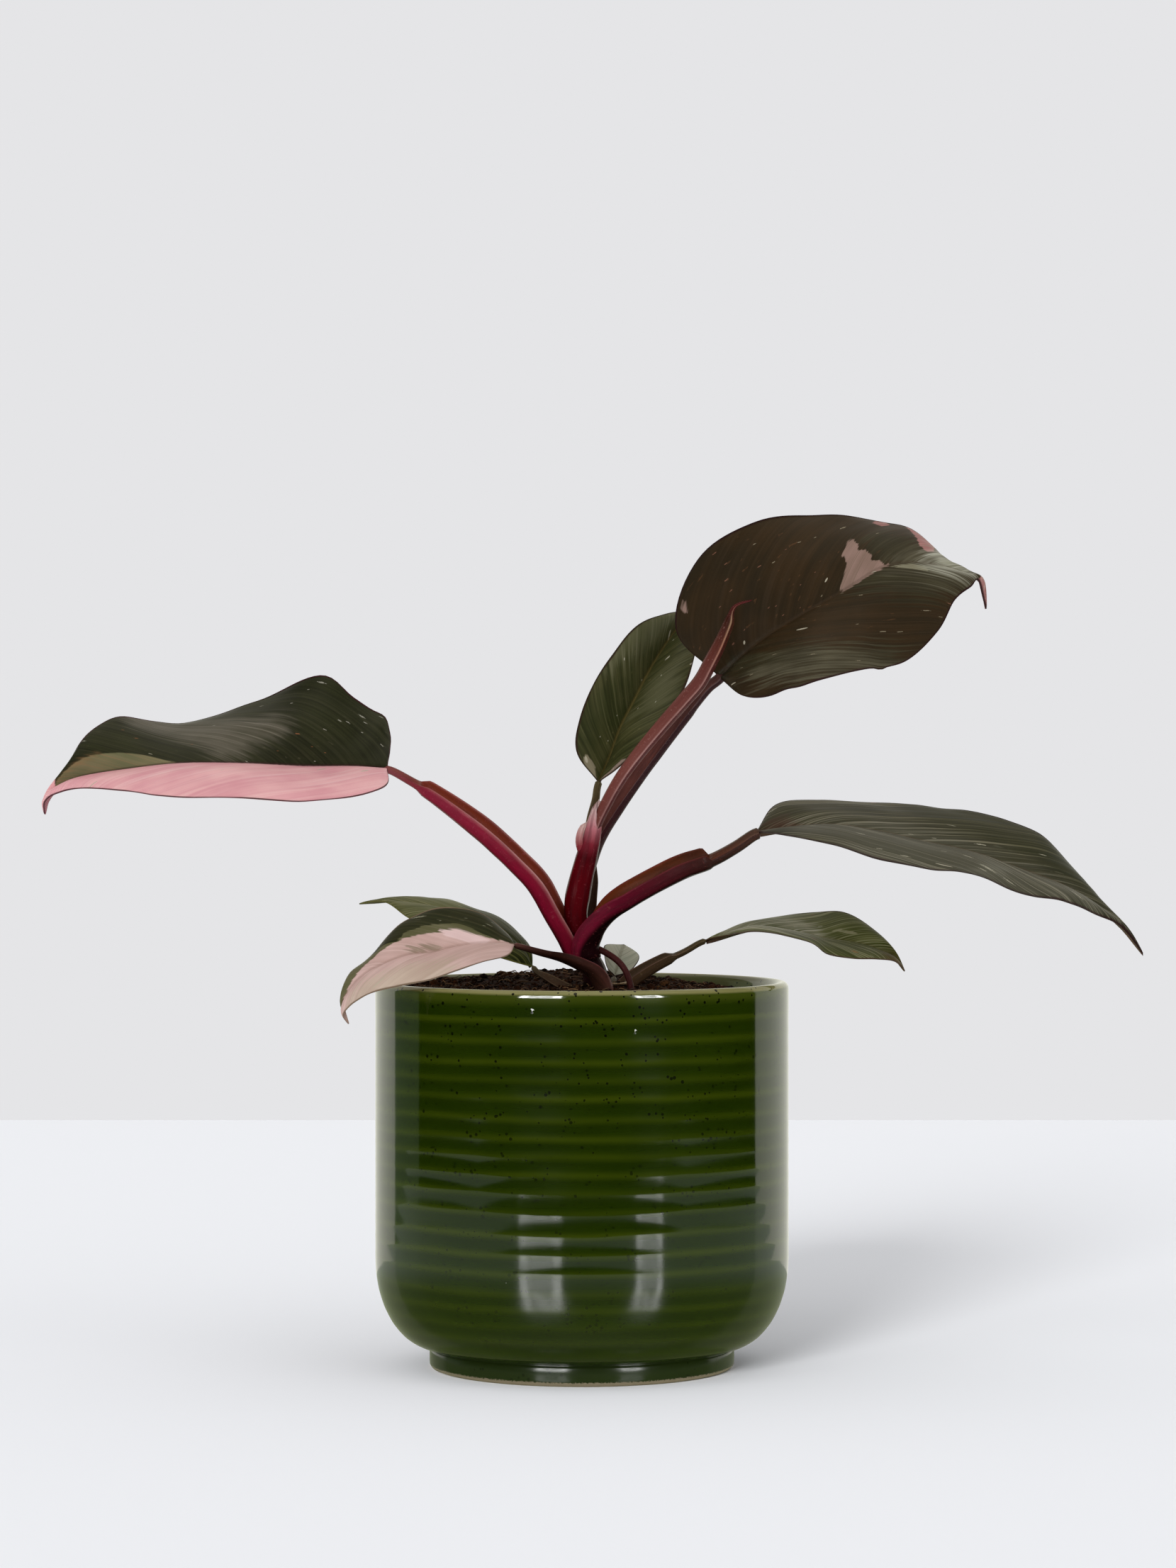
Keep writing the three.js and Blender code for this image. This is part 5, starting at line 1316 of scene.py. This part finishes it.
                    (0.293, -0.184, 0.5, 0.35), (0.346, 0.211, 0.4, 0.3), (0.469, -0.043, 0.5, 0.3),
                    (0.19, -0.164, 0.4, 0.3), (0.388, 0.525, 0.4, 0.3), (0.501, -0.686, 1, 0.25),
                    (0.198, -0.385, 0.4, 0.3)]),
    "low_right": blade_look(
        sweep=((1.4, 2.6), (1.4, 2.6)), tones=[(108, 110, 66), (72, 78, 30), (166, 162, 124)],
        fleck=(160, 156, 120), streak=0.9, mark_streak=0.8, shine=0.18,
        margin=(84, 58, 40), margin_width=0.7, rib=(112, 100, 60), rib_share=0.2, wave=0.3,
        marks=[[[(0.586, -0.22), (0.62, -0.3), (0.68, -0.31), (0.719, -0.26), (0.69, -0.2), (0.62, -0.19)]],
               [[(0.45, 0.6), (0.469, 0.72), (0.49, 0.66), (0.47, 0.56)]],
               [[(0.66, 0.68), (0.679, 0.78), (0.7, 0.74), (0.68, 0.66)]],
               # Painted sheen: pale streaks over the blade's base half
               [[(0.1, -0.9), (0.36, -0.6), (0.5, -0.3), (0.6, 0.1), (0.5, 0.5), (0.3, 0.9), (0.1, 0.9)]],
               [[(0.86, -1.3), (0.9, -0.5), (0.8, 0.5), (0.85, 1.3), (1.1, 1.3), (1.1, -1.3)]]],
        mark_looks=[([(150, 146, 110), (138, 134, 98), (164, 160, 130)], 0.6, SHARP, 1),
                    ([(104, 72, 46), (92, 62, 40), (120, 88, 58)], 0.5, SHARP, 1),
                    ([(150, 122, 64), (136, 106, 54), (160, 136, 84)], 0.4, SHARP, 1),
                    # Tones of the painted sheen
                    ([(160, 156, 130), (92, 96, 62), (222, 216, 196)], 4, 3, 0.9),
                    ([(92, 66, 34), (84, 70, 30), (110, 84, 48)], 2, 3, 0.7)],
        pale_nicks=[(0.757, 0.886, 0.6, 0.5), (0.805, 0.619, 0.4, 0.3), (0.657, 0.117, 0.8, 0.25),
                    (0.541, -0.331, 1.6, 0.35), (0.424, -0.191, 1.8, 0.35), (0.36, 0.4, 2, 0.35)],
        warm_nicks=[(0.677, 0.726, 0.9, 0.9), (0.521, -0.819, 1.8, 0.3)]),
    "low_left": blade_look(
        slot="blade_pink", sweep=((1.6, 2.8), (1.4, 2.6)), tones=[(42, 46, 22), (52, 54, 28), (72, 70, 46)],
        wave=0.35, shine=0.17, margin=(132, 112, 90), margin_width=0.8, rib=(150, 116, 100), rib_share=0.3,
        under=[(132, 106, 92), (118, 96, 78), (150, 108, 96)],
        marks=[[[(-0.1, -1.4), (1.1, -1.4), (1.1, 1.3), (0.74, 1.3), (0.7, 0.85), (0.657, 0.6), (0.612, 0.67),
                 (0.541, 0.43), (0.511, 0.58), (0.466, 0.53), (0.444, 0.585), (0.391, 0.53), (0.346, 0.51),
                 (0.303, 0.5), (0.258, 0.39), (0.208, 0.25), (0.15, 0.14), (0.05, 0.03), (-0.1, 0)]],
               [[(-0.1, -1.4), (1.1, -1.4), (1.1, -0.02), (0.93, 0.0), (0.89, 0.01), (0.825, 0.13),
                 (0.747, 0.28), (0.684, 0.41), (0.622, 0.45), (0.541, 0.43), (0.466, 0.39), (0.414, 0.36),
                 (0.361, 0.34), (0.316, 0.36), (0.278, 0.28), (0.238, 0.22), (0.183, 0.13),
                 (0.115, 0.08), (-0.1, 0.05)]],
               [[(0.37, 0.02), (0.42, 0.14), (0.5, 0.17), (0.47, 0.03)]],
               [[(0.3, -1.3), (0.9, -1.3), (0.8, -0.5), (0.5, -0.45), (0.32, -0.6)]],
               [[(0.375, 0.4), (0.301, 0.34), (0.248, 0.23), (0.16, 0.06), (0.18, -0.15), (0.236, -0.02),
                 (0.316, 0.16), (0.351, 0.25)]]],
        mark_looks=[([(108, 106, 74), (94, 92, 60), (130, 122, 96)], 0.5, SHARP, 1),
                    ([(224, 190, 182), (204, 170, 160), (236, 208, 200)], 0.5, SHARP, 1),
                    ([(160, 142, 120), (140, 124, 102), (186, 160, 142)], 1.6, 1, 0.8),
                    ([(208, 190, 168), (194, 172, 152), (220, 204, 186)], 4, 4, 0.8),
                    ([(244, 214, 210), (232, 200, 196), (250, 226, 222)], 0.6, 0.6, 0.9)],
        pale_nick=(150, 150, 124),
        pale_nicks=[(0.188, 0.602, 1.6, 0.35), (0.175, 0.592, 0.9, 0.3), (0.203, 0.505, 0.8, 0.25),
                    (0.173, 0.793, 0.6, 0.3), (0.461, 0.89, 2.2, 1), (0.446, 0.849, 1.2, 0.8),
                    (0.373, 0.615, 0.5, 0.3), (0.276, 0.666, 0.5, 0.3)]),
    "low_back": blade_look(
        sweep=((2.0, 3.0), (2.0, 3.0)), tones=[(38, 44, 14), (56, 60, 22), (104, 104, 56)], wave=0.3,
        streak=0.8, mark_streak=0.8, shine=0.12, margin=(108, 106, 48), margin_width=0.9, rib_share=0.0,
        marks=[[[(0.45, -1.2), (0.5, 0), (0.45, 1.2), (1.1, 1.2), (1.1, -1.2)]]],
        mark_looks=[([(122, 124, 82), (100, 104, 62), (166, 162, 120)], 4, 5, 0.9)],
        pale_nicks=[(0.526, 0.324, 0.9, 0.3), (0.298, 0.95, 0.9, 0.4), (0.201, 0.95, 0.6, 0.35),
                    (0.143, 0.411, 0.8, 0.4), (0.263, -0.07, 0.6, 0.3), (0.313, 0.9, 0.5, 0.3)]),
    "small": blade_look(tones=[(168, 172, 150), (190, 188, 166), (214, 210, 190)], wave=0.1, vein_gap=2.4,
                        groove=0.2, keel_width=0.7, margin_width=0.5),
}


# Looks of the stems: at each share of the length, the colours of the back, the plus side, the
# groove, the minus side and the edges of the wings, whose paler colour is partly a painted highlight

def stem_look(stops, streak_tone=(40, 20, 16), fleck=(140, 84, 76), streak=0.45, gloss=0.24):
    return {"stops": stops, "streak_tone": streak_tone, "fleck": fleck, "streak": streak, "gloss": gloss}


def plain_stops(*pairs):
    return [(at, [colour] * 5) for at, colour in pairs]


STEM_LOOKS = {
    "left": stem_look([
        (0, [(84, 8, 26), (138, 18, 46), (108, 38, 22), (112, 54, 24), (160, 94, 92)]),
        (0.35, [(96, 10, 28), (146, 20, 50), (126, 48, 26), (126, 60, 28), (210, 156, 152)]),
        (0.83, [(108, 18, 36), (148, 30, 58), (130, 52, 30), (128, 58, 32), (176, 106, 102)]),
        (0.9, [(120, 44, 50), (140, 56, 62), (124, 56, 52), (112, 52, 44), (120, 60, 56)]),
        (1, [(150, 84, 88), (150, 84, 88), (140, 80, 76), (120, 60, 60), (150, 84, 84)])],
        streak_tone=(84, 12, 24), fleck=(176, 84, 96), streak=0.35),
    "top": stem_look([
        (0, [(58, 14, 18), (90, 24, 32), (76, 44, 36), (60, 24, 22), (120, 84, 74)]),
        (0.25, [(58, 20, 24), (100, 40, 40), (104, 56, 48), (60, 24, 26), (150, 104, 98)]),
        (0.6, [(62, 34, 38), (104, 58, 56), (124, 74, 66), (60, 32, 36), (160, 126, 120)]),
        (1, [(74, 48, 50), (92, 60, 60), (96, 64, 58), (70, 44, 46), (120, 98, 94)])],
        streak_tone=(44, 20, 24), fleck=(130, 96, 92)),
    "right": stem_look([
        (0, [(34, 7, 12), (84, 44, 26), (110, 50, 30), (146, 26, 58), (136, 36, 58)]),
        (0.3, [(14, 6, 5), (104, 52, 24), (112, 50, 20), (112, 20, 44), (140, 38, 58)]),
        (0.55, [(18, 9, 6), (106, 52, 24), (110, 54, 26), (84, 26, 34), (132, 52, 54)]),
        (0.75, [(30, 16, 11), (84, 42, 26), (88, 46, 30), (62, 32, 26), (104, 54, 42)]),
        (1, [(66, 46, 36), (84, 60, 48), (84, 62, 48), (80, 54, 44), (104, 80, 66)])],
        streak_tone=(30, 12, 10), fleck=(150, 80, 74)),
    "back": stem_look([
        (0, [(62, 38, 30), (66, 40, 32), (60, 38, 30), (62, 38, 30), (96, 66, 56)]),
        (0.55, [(96, 72, 54), (100, 74, 56), (90, 68, 50), (92, 68, 50), (130, 106, 84)]),
        (1, [(96, 84, 52), (100, 86, 56), (90, 80, 50), (94, 82, 52), (120, 108, 76)])],
        streak_tone=(50, 32, 24), fleck=(140, 112, 90)),
    "low_right": stem_look([
        (0, [(84, 54, 38), (94, 60, 44), (80, 56, 38), (88, 62, 44), (136, 94, 82)]),
        (0.6, [(84, 66, 44), (90, 70, 46), (80, 62, 42), (86, 66, 46), (136, 96, 82)]),
        (1, [(88, 76, 50), (92, 78, 50), (84, 72, 46), (90, 78, 50), (120, 106, 74)])],
        streak_tone=(44, 30, 20), fleck=(136, 116, 84)),
    "low_left": stem_look([
        (0, [(116, 78, 66), (128, 90, 78), (100, 76, 64), (112, 74, 62), (156, 96, 100)]),
        (0.3, [(72, 44, 34), (90, 52, 44), (76, 54, 44), (72, 46, 36), (126, 62, 66)]),
        (0.7, [(36, 16, 10), (48, 24, 16), (54, 32, 26), (44, 24, 16), (96, 44, 46)]),
        (1, [(84, 52, 44), (96, 60, 52), (92, 60, 52), (80, 50, 42), (120, 76, 70)])],
        streak_tone=(30, 14, 10), fleck=(120, 76, 64)),
    "low_back": stem_look([
        (0, [(84, 60, 46), (96, 74, 58), (92, 70, 54), (80, 58, 44), (140, 116, 92)]),
        (0.8, [(80, 60, 42), (90, 70, 52), (88, 68, 50), (78, 60, 42), (132, 110, 84)]),
        (1, [(90, 82, 54), (94, 86, 58), (88, 80, 54), (88, 80, 54), (120, 108, 80)])],
        streak_tone=(48, 34, 24), fleck=(136, 112, 86)),
    "small": stem_look(plain_stops((0, (104, 96, 78)), (1, (116, 108, 92))), streak_tone=(70, 60, 44),
                       fleck=(150, 140, 120)),
    "main_stem": stem_look(plain_stops((0, (50, 30, 26)), (0.5, (34, 16, 16)), (1, (60, 20, 26)))),
    "new_leaf": stem_look([
        (0, [(96, 44, 44), (110, 54, 52), (104, 50, 46), (84, 36, 38), (150, 96, 92)]),
        (0.4, [(128, 72, 66), (140, 88, 82), (124, 70, 62), (96, 50, 50), (190, 148, 140)]),
        (0.72, [(120, 66, 60), (132, 80, 74), (110, 60, 54), (92, 48, 46), (186, 140, 130)]),
        (0.82, [(112, 58, 46), (126, 72, 58), (90, 46, 36), (78, 38, 30), (186, 130, 106)]),
        (0.9, [(110, 72, 46), (124, 84, 54), (56, 30, 20), (70, 40, 26), (196, 160, 124)]),
        (0.95, [(110, 44, 42), (116, 48, 44), (84, 32, 30), (84, 34, 32), (130, 70, 64)]),
        (1, [(96, 36, 38), (100, 38, 40), (80, 28, 30), (84, 30, 32), (110, 46, 46)])],
        streak_tone=(96, 48, 42), fleck=(180, 136, 126), streak=0.3),
    "cataphyll": stem_look([
        (0, [(88, 4, 14), (66, 4, 10), (80, 30, 28), (92, 6, 20), (110, 50, 48)]),
        (0.5, [(96, 3, 14), (62, 2, 8), (96, 40, 36), (96, 6, 20), (150, 90, 82)]),
        (0.62, [(84, 6, 16), (64, 6, 12), (120, 70, 62), (84, 16, 24), (170, 120, 112)]),
        (0.72, [(140, 40, 54), (90, 22, 32), (150, 100, 92), (120, 46, 54), (206, 166, 160)]),
        (0.84, [(196, 118, 126), (150, 70, 78), (176, 130, 120), (160, 90, 92), (226, 190, 186)]),
        (1, [(236, 206, 200), (226, 190, 184), (200, 160, 150), (220, 180, 176), (240, 216, 210)])],
        streak_tone=(60, 2, 10), fleck=(160, 70, 76), streak=0.6, gloss=0.2),
    "sheath_flap": stem_look(plain_stops((0, (110, 10, 26)), (0.4, (150, 50, 60)), (0.7, (206, 150, 146)),
                                         (1, (232, 204, 194))),
                             streak_tone=(120, 24, 36), fleck=(236, 210, 204)),
    "aerial_root": stem_look(plain_stops((0, (64, 24, 22)), (0.5, (78, 30, 30)), (1, (50, 28, 22))),
                             gloss=0.4),
}


# Stage: a pale floor, a key light from the low left that only the pot blocks, two soft fills, and
# two tall softboxes that only reflections see. The camera looks level along +Y.

LENS = SENSOR * FOCAL_PIXELS / PHOTO_HEIGHT
WALL_COLOUR = (229, 229, 231)
FLOOR_ALBEDO = (0.86, 0.87, 0.90)
# Colours of the table in reflections: a painted shadow near the pot, paler further out
TABLE_SHADOWED_NEAR, TABLE_FAR = (134, 146, 96), (198, 208, 196)
SKY_LEVEL = 0.58
TABLE_SHINE = 0.24
TABLE_ROUGHNESS = 0.22
TABLE_HALF_WIDTH = 0.78
TABLE_FRONT = -0.51
TABLE_BACK = 0.25

# What reflections see of the room: azimuths in degrees from the camera's side, how high (as the up
# part of the direction) the lower walls and then the upper ones end, and colours with their strengths
BRIGHT_FROM_RIGHT, BRIGHT_FROM_LEFT, DIM_FROM_LEFT = 112, -127, -102
LOW_WALL_END, HIGH_WALL_END = (0.25, 0.5), (0.72, 0.92)
ROOM = {"dark": ((0, 0, 0), 1), "dim": ((0.75, 0.95, 0.65), 0.25), "bright": ((1, 1, 0.88), 0.98),
        "high": ((1, 0.93, 0.82), 0.6), "overhead": ((1, 0.9, 0.76), 0.7)}

# Softboxes as name, azimuth and half angle; their low edge, high edge and radiance, for the pot and
# for the stems, where they are narrower. Suns as azimuth, elevation, strength and spread.
SOFTBOXES = [("softbox_left", -22.5, 11.5), ("softbox_right", 37, 7.4)]
SOFTBOX_DISTANCE = 2.4
ON_POT, ON_STEMS = (5.6, 31, 30), (8, 50, 2)
ON_STEMS_WIDTH = 0.6
SUNS = {"key": (-19, 14, 3.7, 18), "fill_left": (-28, 32, 0.42, 50), "fill_right": (40, 32, 0.34, 50)}


def make_camera():
    data = bpy.data.cameras.new("camera")
    data.lens = LENS
    data.sensor_width = SENSOR
    data.clip_start, data.clip_end = 0.05, 50
    camera = bpy.data.objects.new("camera", data)
    camera.location = CAMERA_PLACE
    camera.rotation_euler = (math.pi / 2, 0, 0)
    bpy.context.scene.collection.objects.link(camera)
    bpy.context.scene.camera = camera


def floor_material():
    """Pale and matt. In reflections it is a dimmer table that ends, so that the pot's front
    mirrors a dark room above it. There the table carries a painted shadow, darkest near the pot."""
    s = Shader("floor")
    glossy = s.add("LightPath").outputs["Is Glossy Ray"]
    x, y, _ = s.parts(s.place())
    on_table = s.times(s.math("LESS_THAN", s.math("ABSOLUTE", x), TABLE_HALF_WIDTH),
                       s.times(s.math("GREATER_THAN", y, TABLE_FRONT), s.math("LESS_THAN", y, TABLE_BACK)))
    matt, dim = s.add("BsdfDiffuse"), s.add("BsdfDiffuse")
    matt.inputs[0].default_value = (*FLOOR_ALBEDO, 1)
    away = s.vector_math("LENGTH", s.vector(x, y, 0.0))
    # Painted shadow: the reflected table darkens towards the pot
    s.feed(dim.inputs[0], s.mix(s.fit(away, 0.1, 0.4), TABLE_SHADOWED_NEAR, TABLE_FAR))
    shine = s.add("BsdfAnisotropic")
    shine.inputs["Roughness"].default_value = TABLE_ROUGHNESS
    polished = s.blend(TABLE_SHINE, dim.outputs[0], shine.outputs[0])
    surface = s.blend(glossy, matt.outputs[0], polished)
    hidden = s.times(glossy, s.minus(1.0, on_table))
    return s.show(s.blend(hidden, surface, s.add("BsdfTransparent").outputs[0]))


def plane(name, corners, material):
    mesh = bpy.data.meshes.new(name)
    mesh.from_pydata(corners, [], [(0, 1, 2, 3)])
    mesh.materials.append(material)
    surface = bpy.data.objects.new(name, mesh)
    bpy.context.scene.collection.objects.link(surface)
    return surface


def light_only(lamp, receivers, casters=()):
    """Limits a light to some objects, and its shadows to some of them"""
    group = bpy.data.collections.new(f"lit_by_{lamp.name}")
    for receiver in receivers:
        group.objects.link(receiver)
    lamp.light_linking.receiver_collection = group
    if casters:
        shade = bpy.data.collections.new(f"shade_of_{lamp.name}")
        for caster in casters:
            shade.objects.link(caster)
        lamp.light_linking.blocker_collection = shade


def softbox(name, azimuth, half_angle, low, high, radiance):
    """An upright lit panel: azimuth from the camera's side of the pot, all angles in degrees"""
    s = Shader(name)
    glow = s.add("Emission")
    glow.inputs["Strength"].default_value = radiance
    angle = math.radians(azimuth)
    centre = np.array([math.sin(angle), -math.cos(angle)]) * SOFTBOX_DISTANCE
    across = np.array([math.cos(angle), math.sin(angle)]) * SOFTBOX_DISTANCE
    across = across * math.tan(math.radians(half_angle))
    bottom, top = (SOFTBOX_DISTANCE * math.tan(math.radians(elevation)) for elevation in (low, high))
    corners = [(*(centre - across), bottom), (*(centre + across), bottom),
               (*(centre + across), top), (*(centre - across), top)]
    panel = plane(name, corners, s.show(glow.outputs[0]))
    for ray in ("camera", "diffuse", "transmission", "volume_scatter", "shadow"):
        setattr(panel, "visible_" + ray, False)
    return panel


def sun(name, azimuth, elevation, strength, spread):
    """A far light: azimuth from the camera's side of the pot, all angles in degrees"""
    data = bpy.data.lights.new(name, "SUN")
    data.energy = strength
    data.angle = math.radians(spread)
    lamp = bpy.data.objects.new(name, data)
    lamp.rotation_euler = (math.pi / 2 - math.radians(elevation), 0, math.radians(azimuth))
    bpy.context.scene.collection.objects.link(lamp)
    lamp.visible_glossy = False
    lamp.visible_camera = False
    return lamp


def make_world():
    """Flat behind the object for the camera, soft and even for matt surfaces, and for
    reflections dark in front and bright behind"""
    s = Shader("studio", "worlds")

    def background(colour, strength):
        node = s.add("Background")
        node.inputs[0].default_value = (*colour, 1)
        node.inputs[1].default_value = strength
        return node.outputs[0]

    path = s.add("LightPath")
    x, y, z = s.parts(s.add("TexCoord").outputs["Generated"])
    azimuth = s.math("ARCTAN2", x, s.times(y, -1))
    right = s.math("GREATER_THAN", azimuth, math.radians(BRIGHT_FROM_RIGHT))
    left = s.math("LESS_THAN", azimuth, math.radians(BRIGHT_FROM_LEFT))
    bright = s.math("MAXIMUM", right, left)
    dim = s.times(s.math("LESS_THAN", azimuth, math.radians(DIM_FROM_LEFT)), s.minus(1.0, left))
    room = {part: background(*look) for part, look in ROOM.items()}
    low = s.blend(bright, s.blend(dim, room["dark"], room["dim"]), room["bright"])
    high = s.blend(bright, room["dark"], room["high"])
    high = s.blend(s.fit(z, *HIGH_WALL_END), high, room["overhead"])
    reflected = s.blend(s.fit(z, *LOW_WALL_END), low, high)
    soft = background((1, 1, 1), SKY_LEVEL)
    seen = background(linear(WALL_COLOUR), 1)
    surface = s.blend(path.outputs["Is Glossy Ray"], soft, reflected)
    surface = s.blend(path.outputs["Is Camera Ray"], surface, seen)
    bpy.context.scene.world = s.show(surface, "OutputWorld")


def make_stage():
    make_camera()
    corners = [(-FLOOR_REACH, -FLOOR_REACH, 0), (FLOOR_REACH, -FLOOR_REACH, 0),
               (FLOOR_REACH, FLOOR_BACK, 0), (-FLOOR_REACH, FLOOR_BACK, 0)]
    floor = plane("floor", corners, floor_material())
    make_world()
    view = bpy.context.scene.view_settings
    view.view_transform = "Standard"
    view.look = "None"
    view.exposure, view.gamma = 0, 1
    return floor


def make_lights(floor, pot, stems):
    for name, azimuth, half_angle in SOFTBOXES:
        light_only(softbox(name, azimuth, half_angle, *ON_POT), [floor, pot])
        glint = softbox(f"{name}_on_stems", azimuth, half_angle * ON_STEMS_WIDTH, *ON_STEMS)
        light_only(glint, stems)
    suns = {name: sun(name, *settings) for name, settings in SUNS.items()}
    light_only(suns["key"], [floor], [pot])


# The object

def petiole_to_blade(leaf):
    """The petiole's route, led into the line of its own midrib up to the blade"""
    points = [leaf["base"], *leaf["midrib"], leaf["tip"]]
    start, next_on, end = guide(points, np.array([0.0, 0.001, 0.015]))
    forward = unit(next_on - start)
    bend = unit(forward + unit(end - np.array(leaf["petiole"]["route"][-1])))
    return {**leaf["petiole"], "route": [*leaf["petiole"]["route"], tuple(end - 3 * bend), tuple(end)]}


# The stems that carry no blade: piece, shape, look, slot, node, seed, and how it is torn or rolled
OTHER_STEMS = [
    ("crown_stem", MAIN_STEM, "main_stem", "stem_brown", "main_stem", 61, {}),
    ("rolled_leaf", NEW_LEAF, "new_leaf", "new_leaf", "new_leaf", 62, {"seam": 0.12}),
    ("torn_sheath", CATAPHYLL, "cataphyll", "sheath_red", "cataphyll", 63, {"torn": 3.2}),
    ("sheath_flap", SHEATH_FLAP, "sheath_flap", "sheath_red", "cataphyll", 65, {"torn": 1.2}),
    ("air_root", AERIAL_ROOT, "aerial_root", "root", "aerial_root", 64, {}),
]


def make_plant():
    """Makes the leaves and stems, and returns the stems"""
    stems = []
    for seed, (name, leaf) in enumerate(LEAVES.items(), start=3):
        blade_piece(name, leaf, LOOKS[name], seed)
        stems.append(stem_piece(f"{name}_leaf_stalk", petiole_to_blade(leaf), STEM_LOOKS[name],
                                PETIOLE_SLOTS.get(name, "stem_brown"), f"{name}_petiole", seed + 40))
    for name, stem, look, slot, node, seed, ends in OTHER_STEMS:
        stems.append(stem_piece(name, stem, STEM_LOOKS[look], slot, node, seed, **ends))
    return stems


ground = make_stage()
pot = pot_piece()
soil_piece()
make_lights(ground, pot, make_plant())
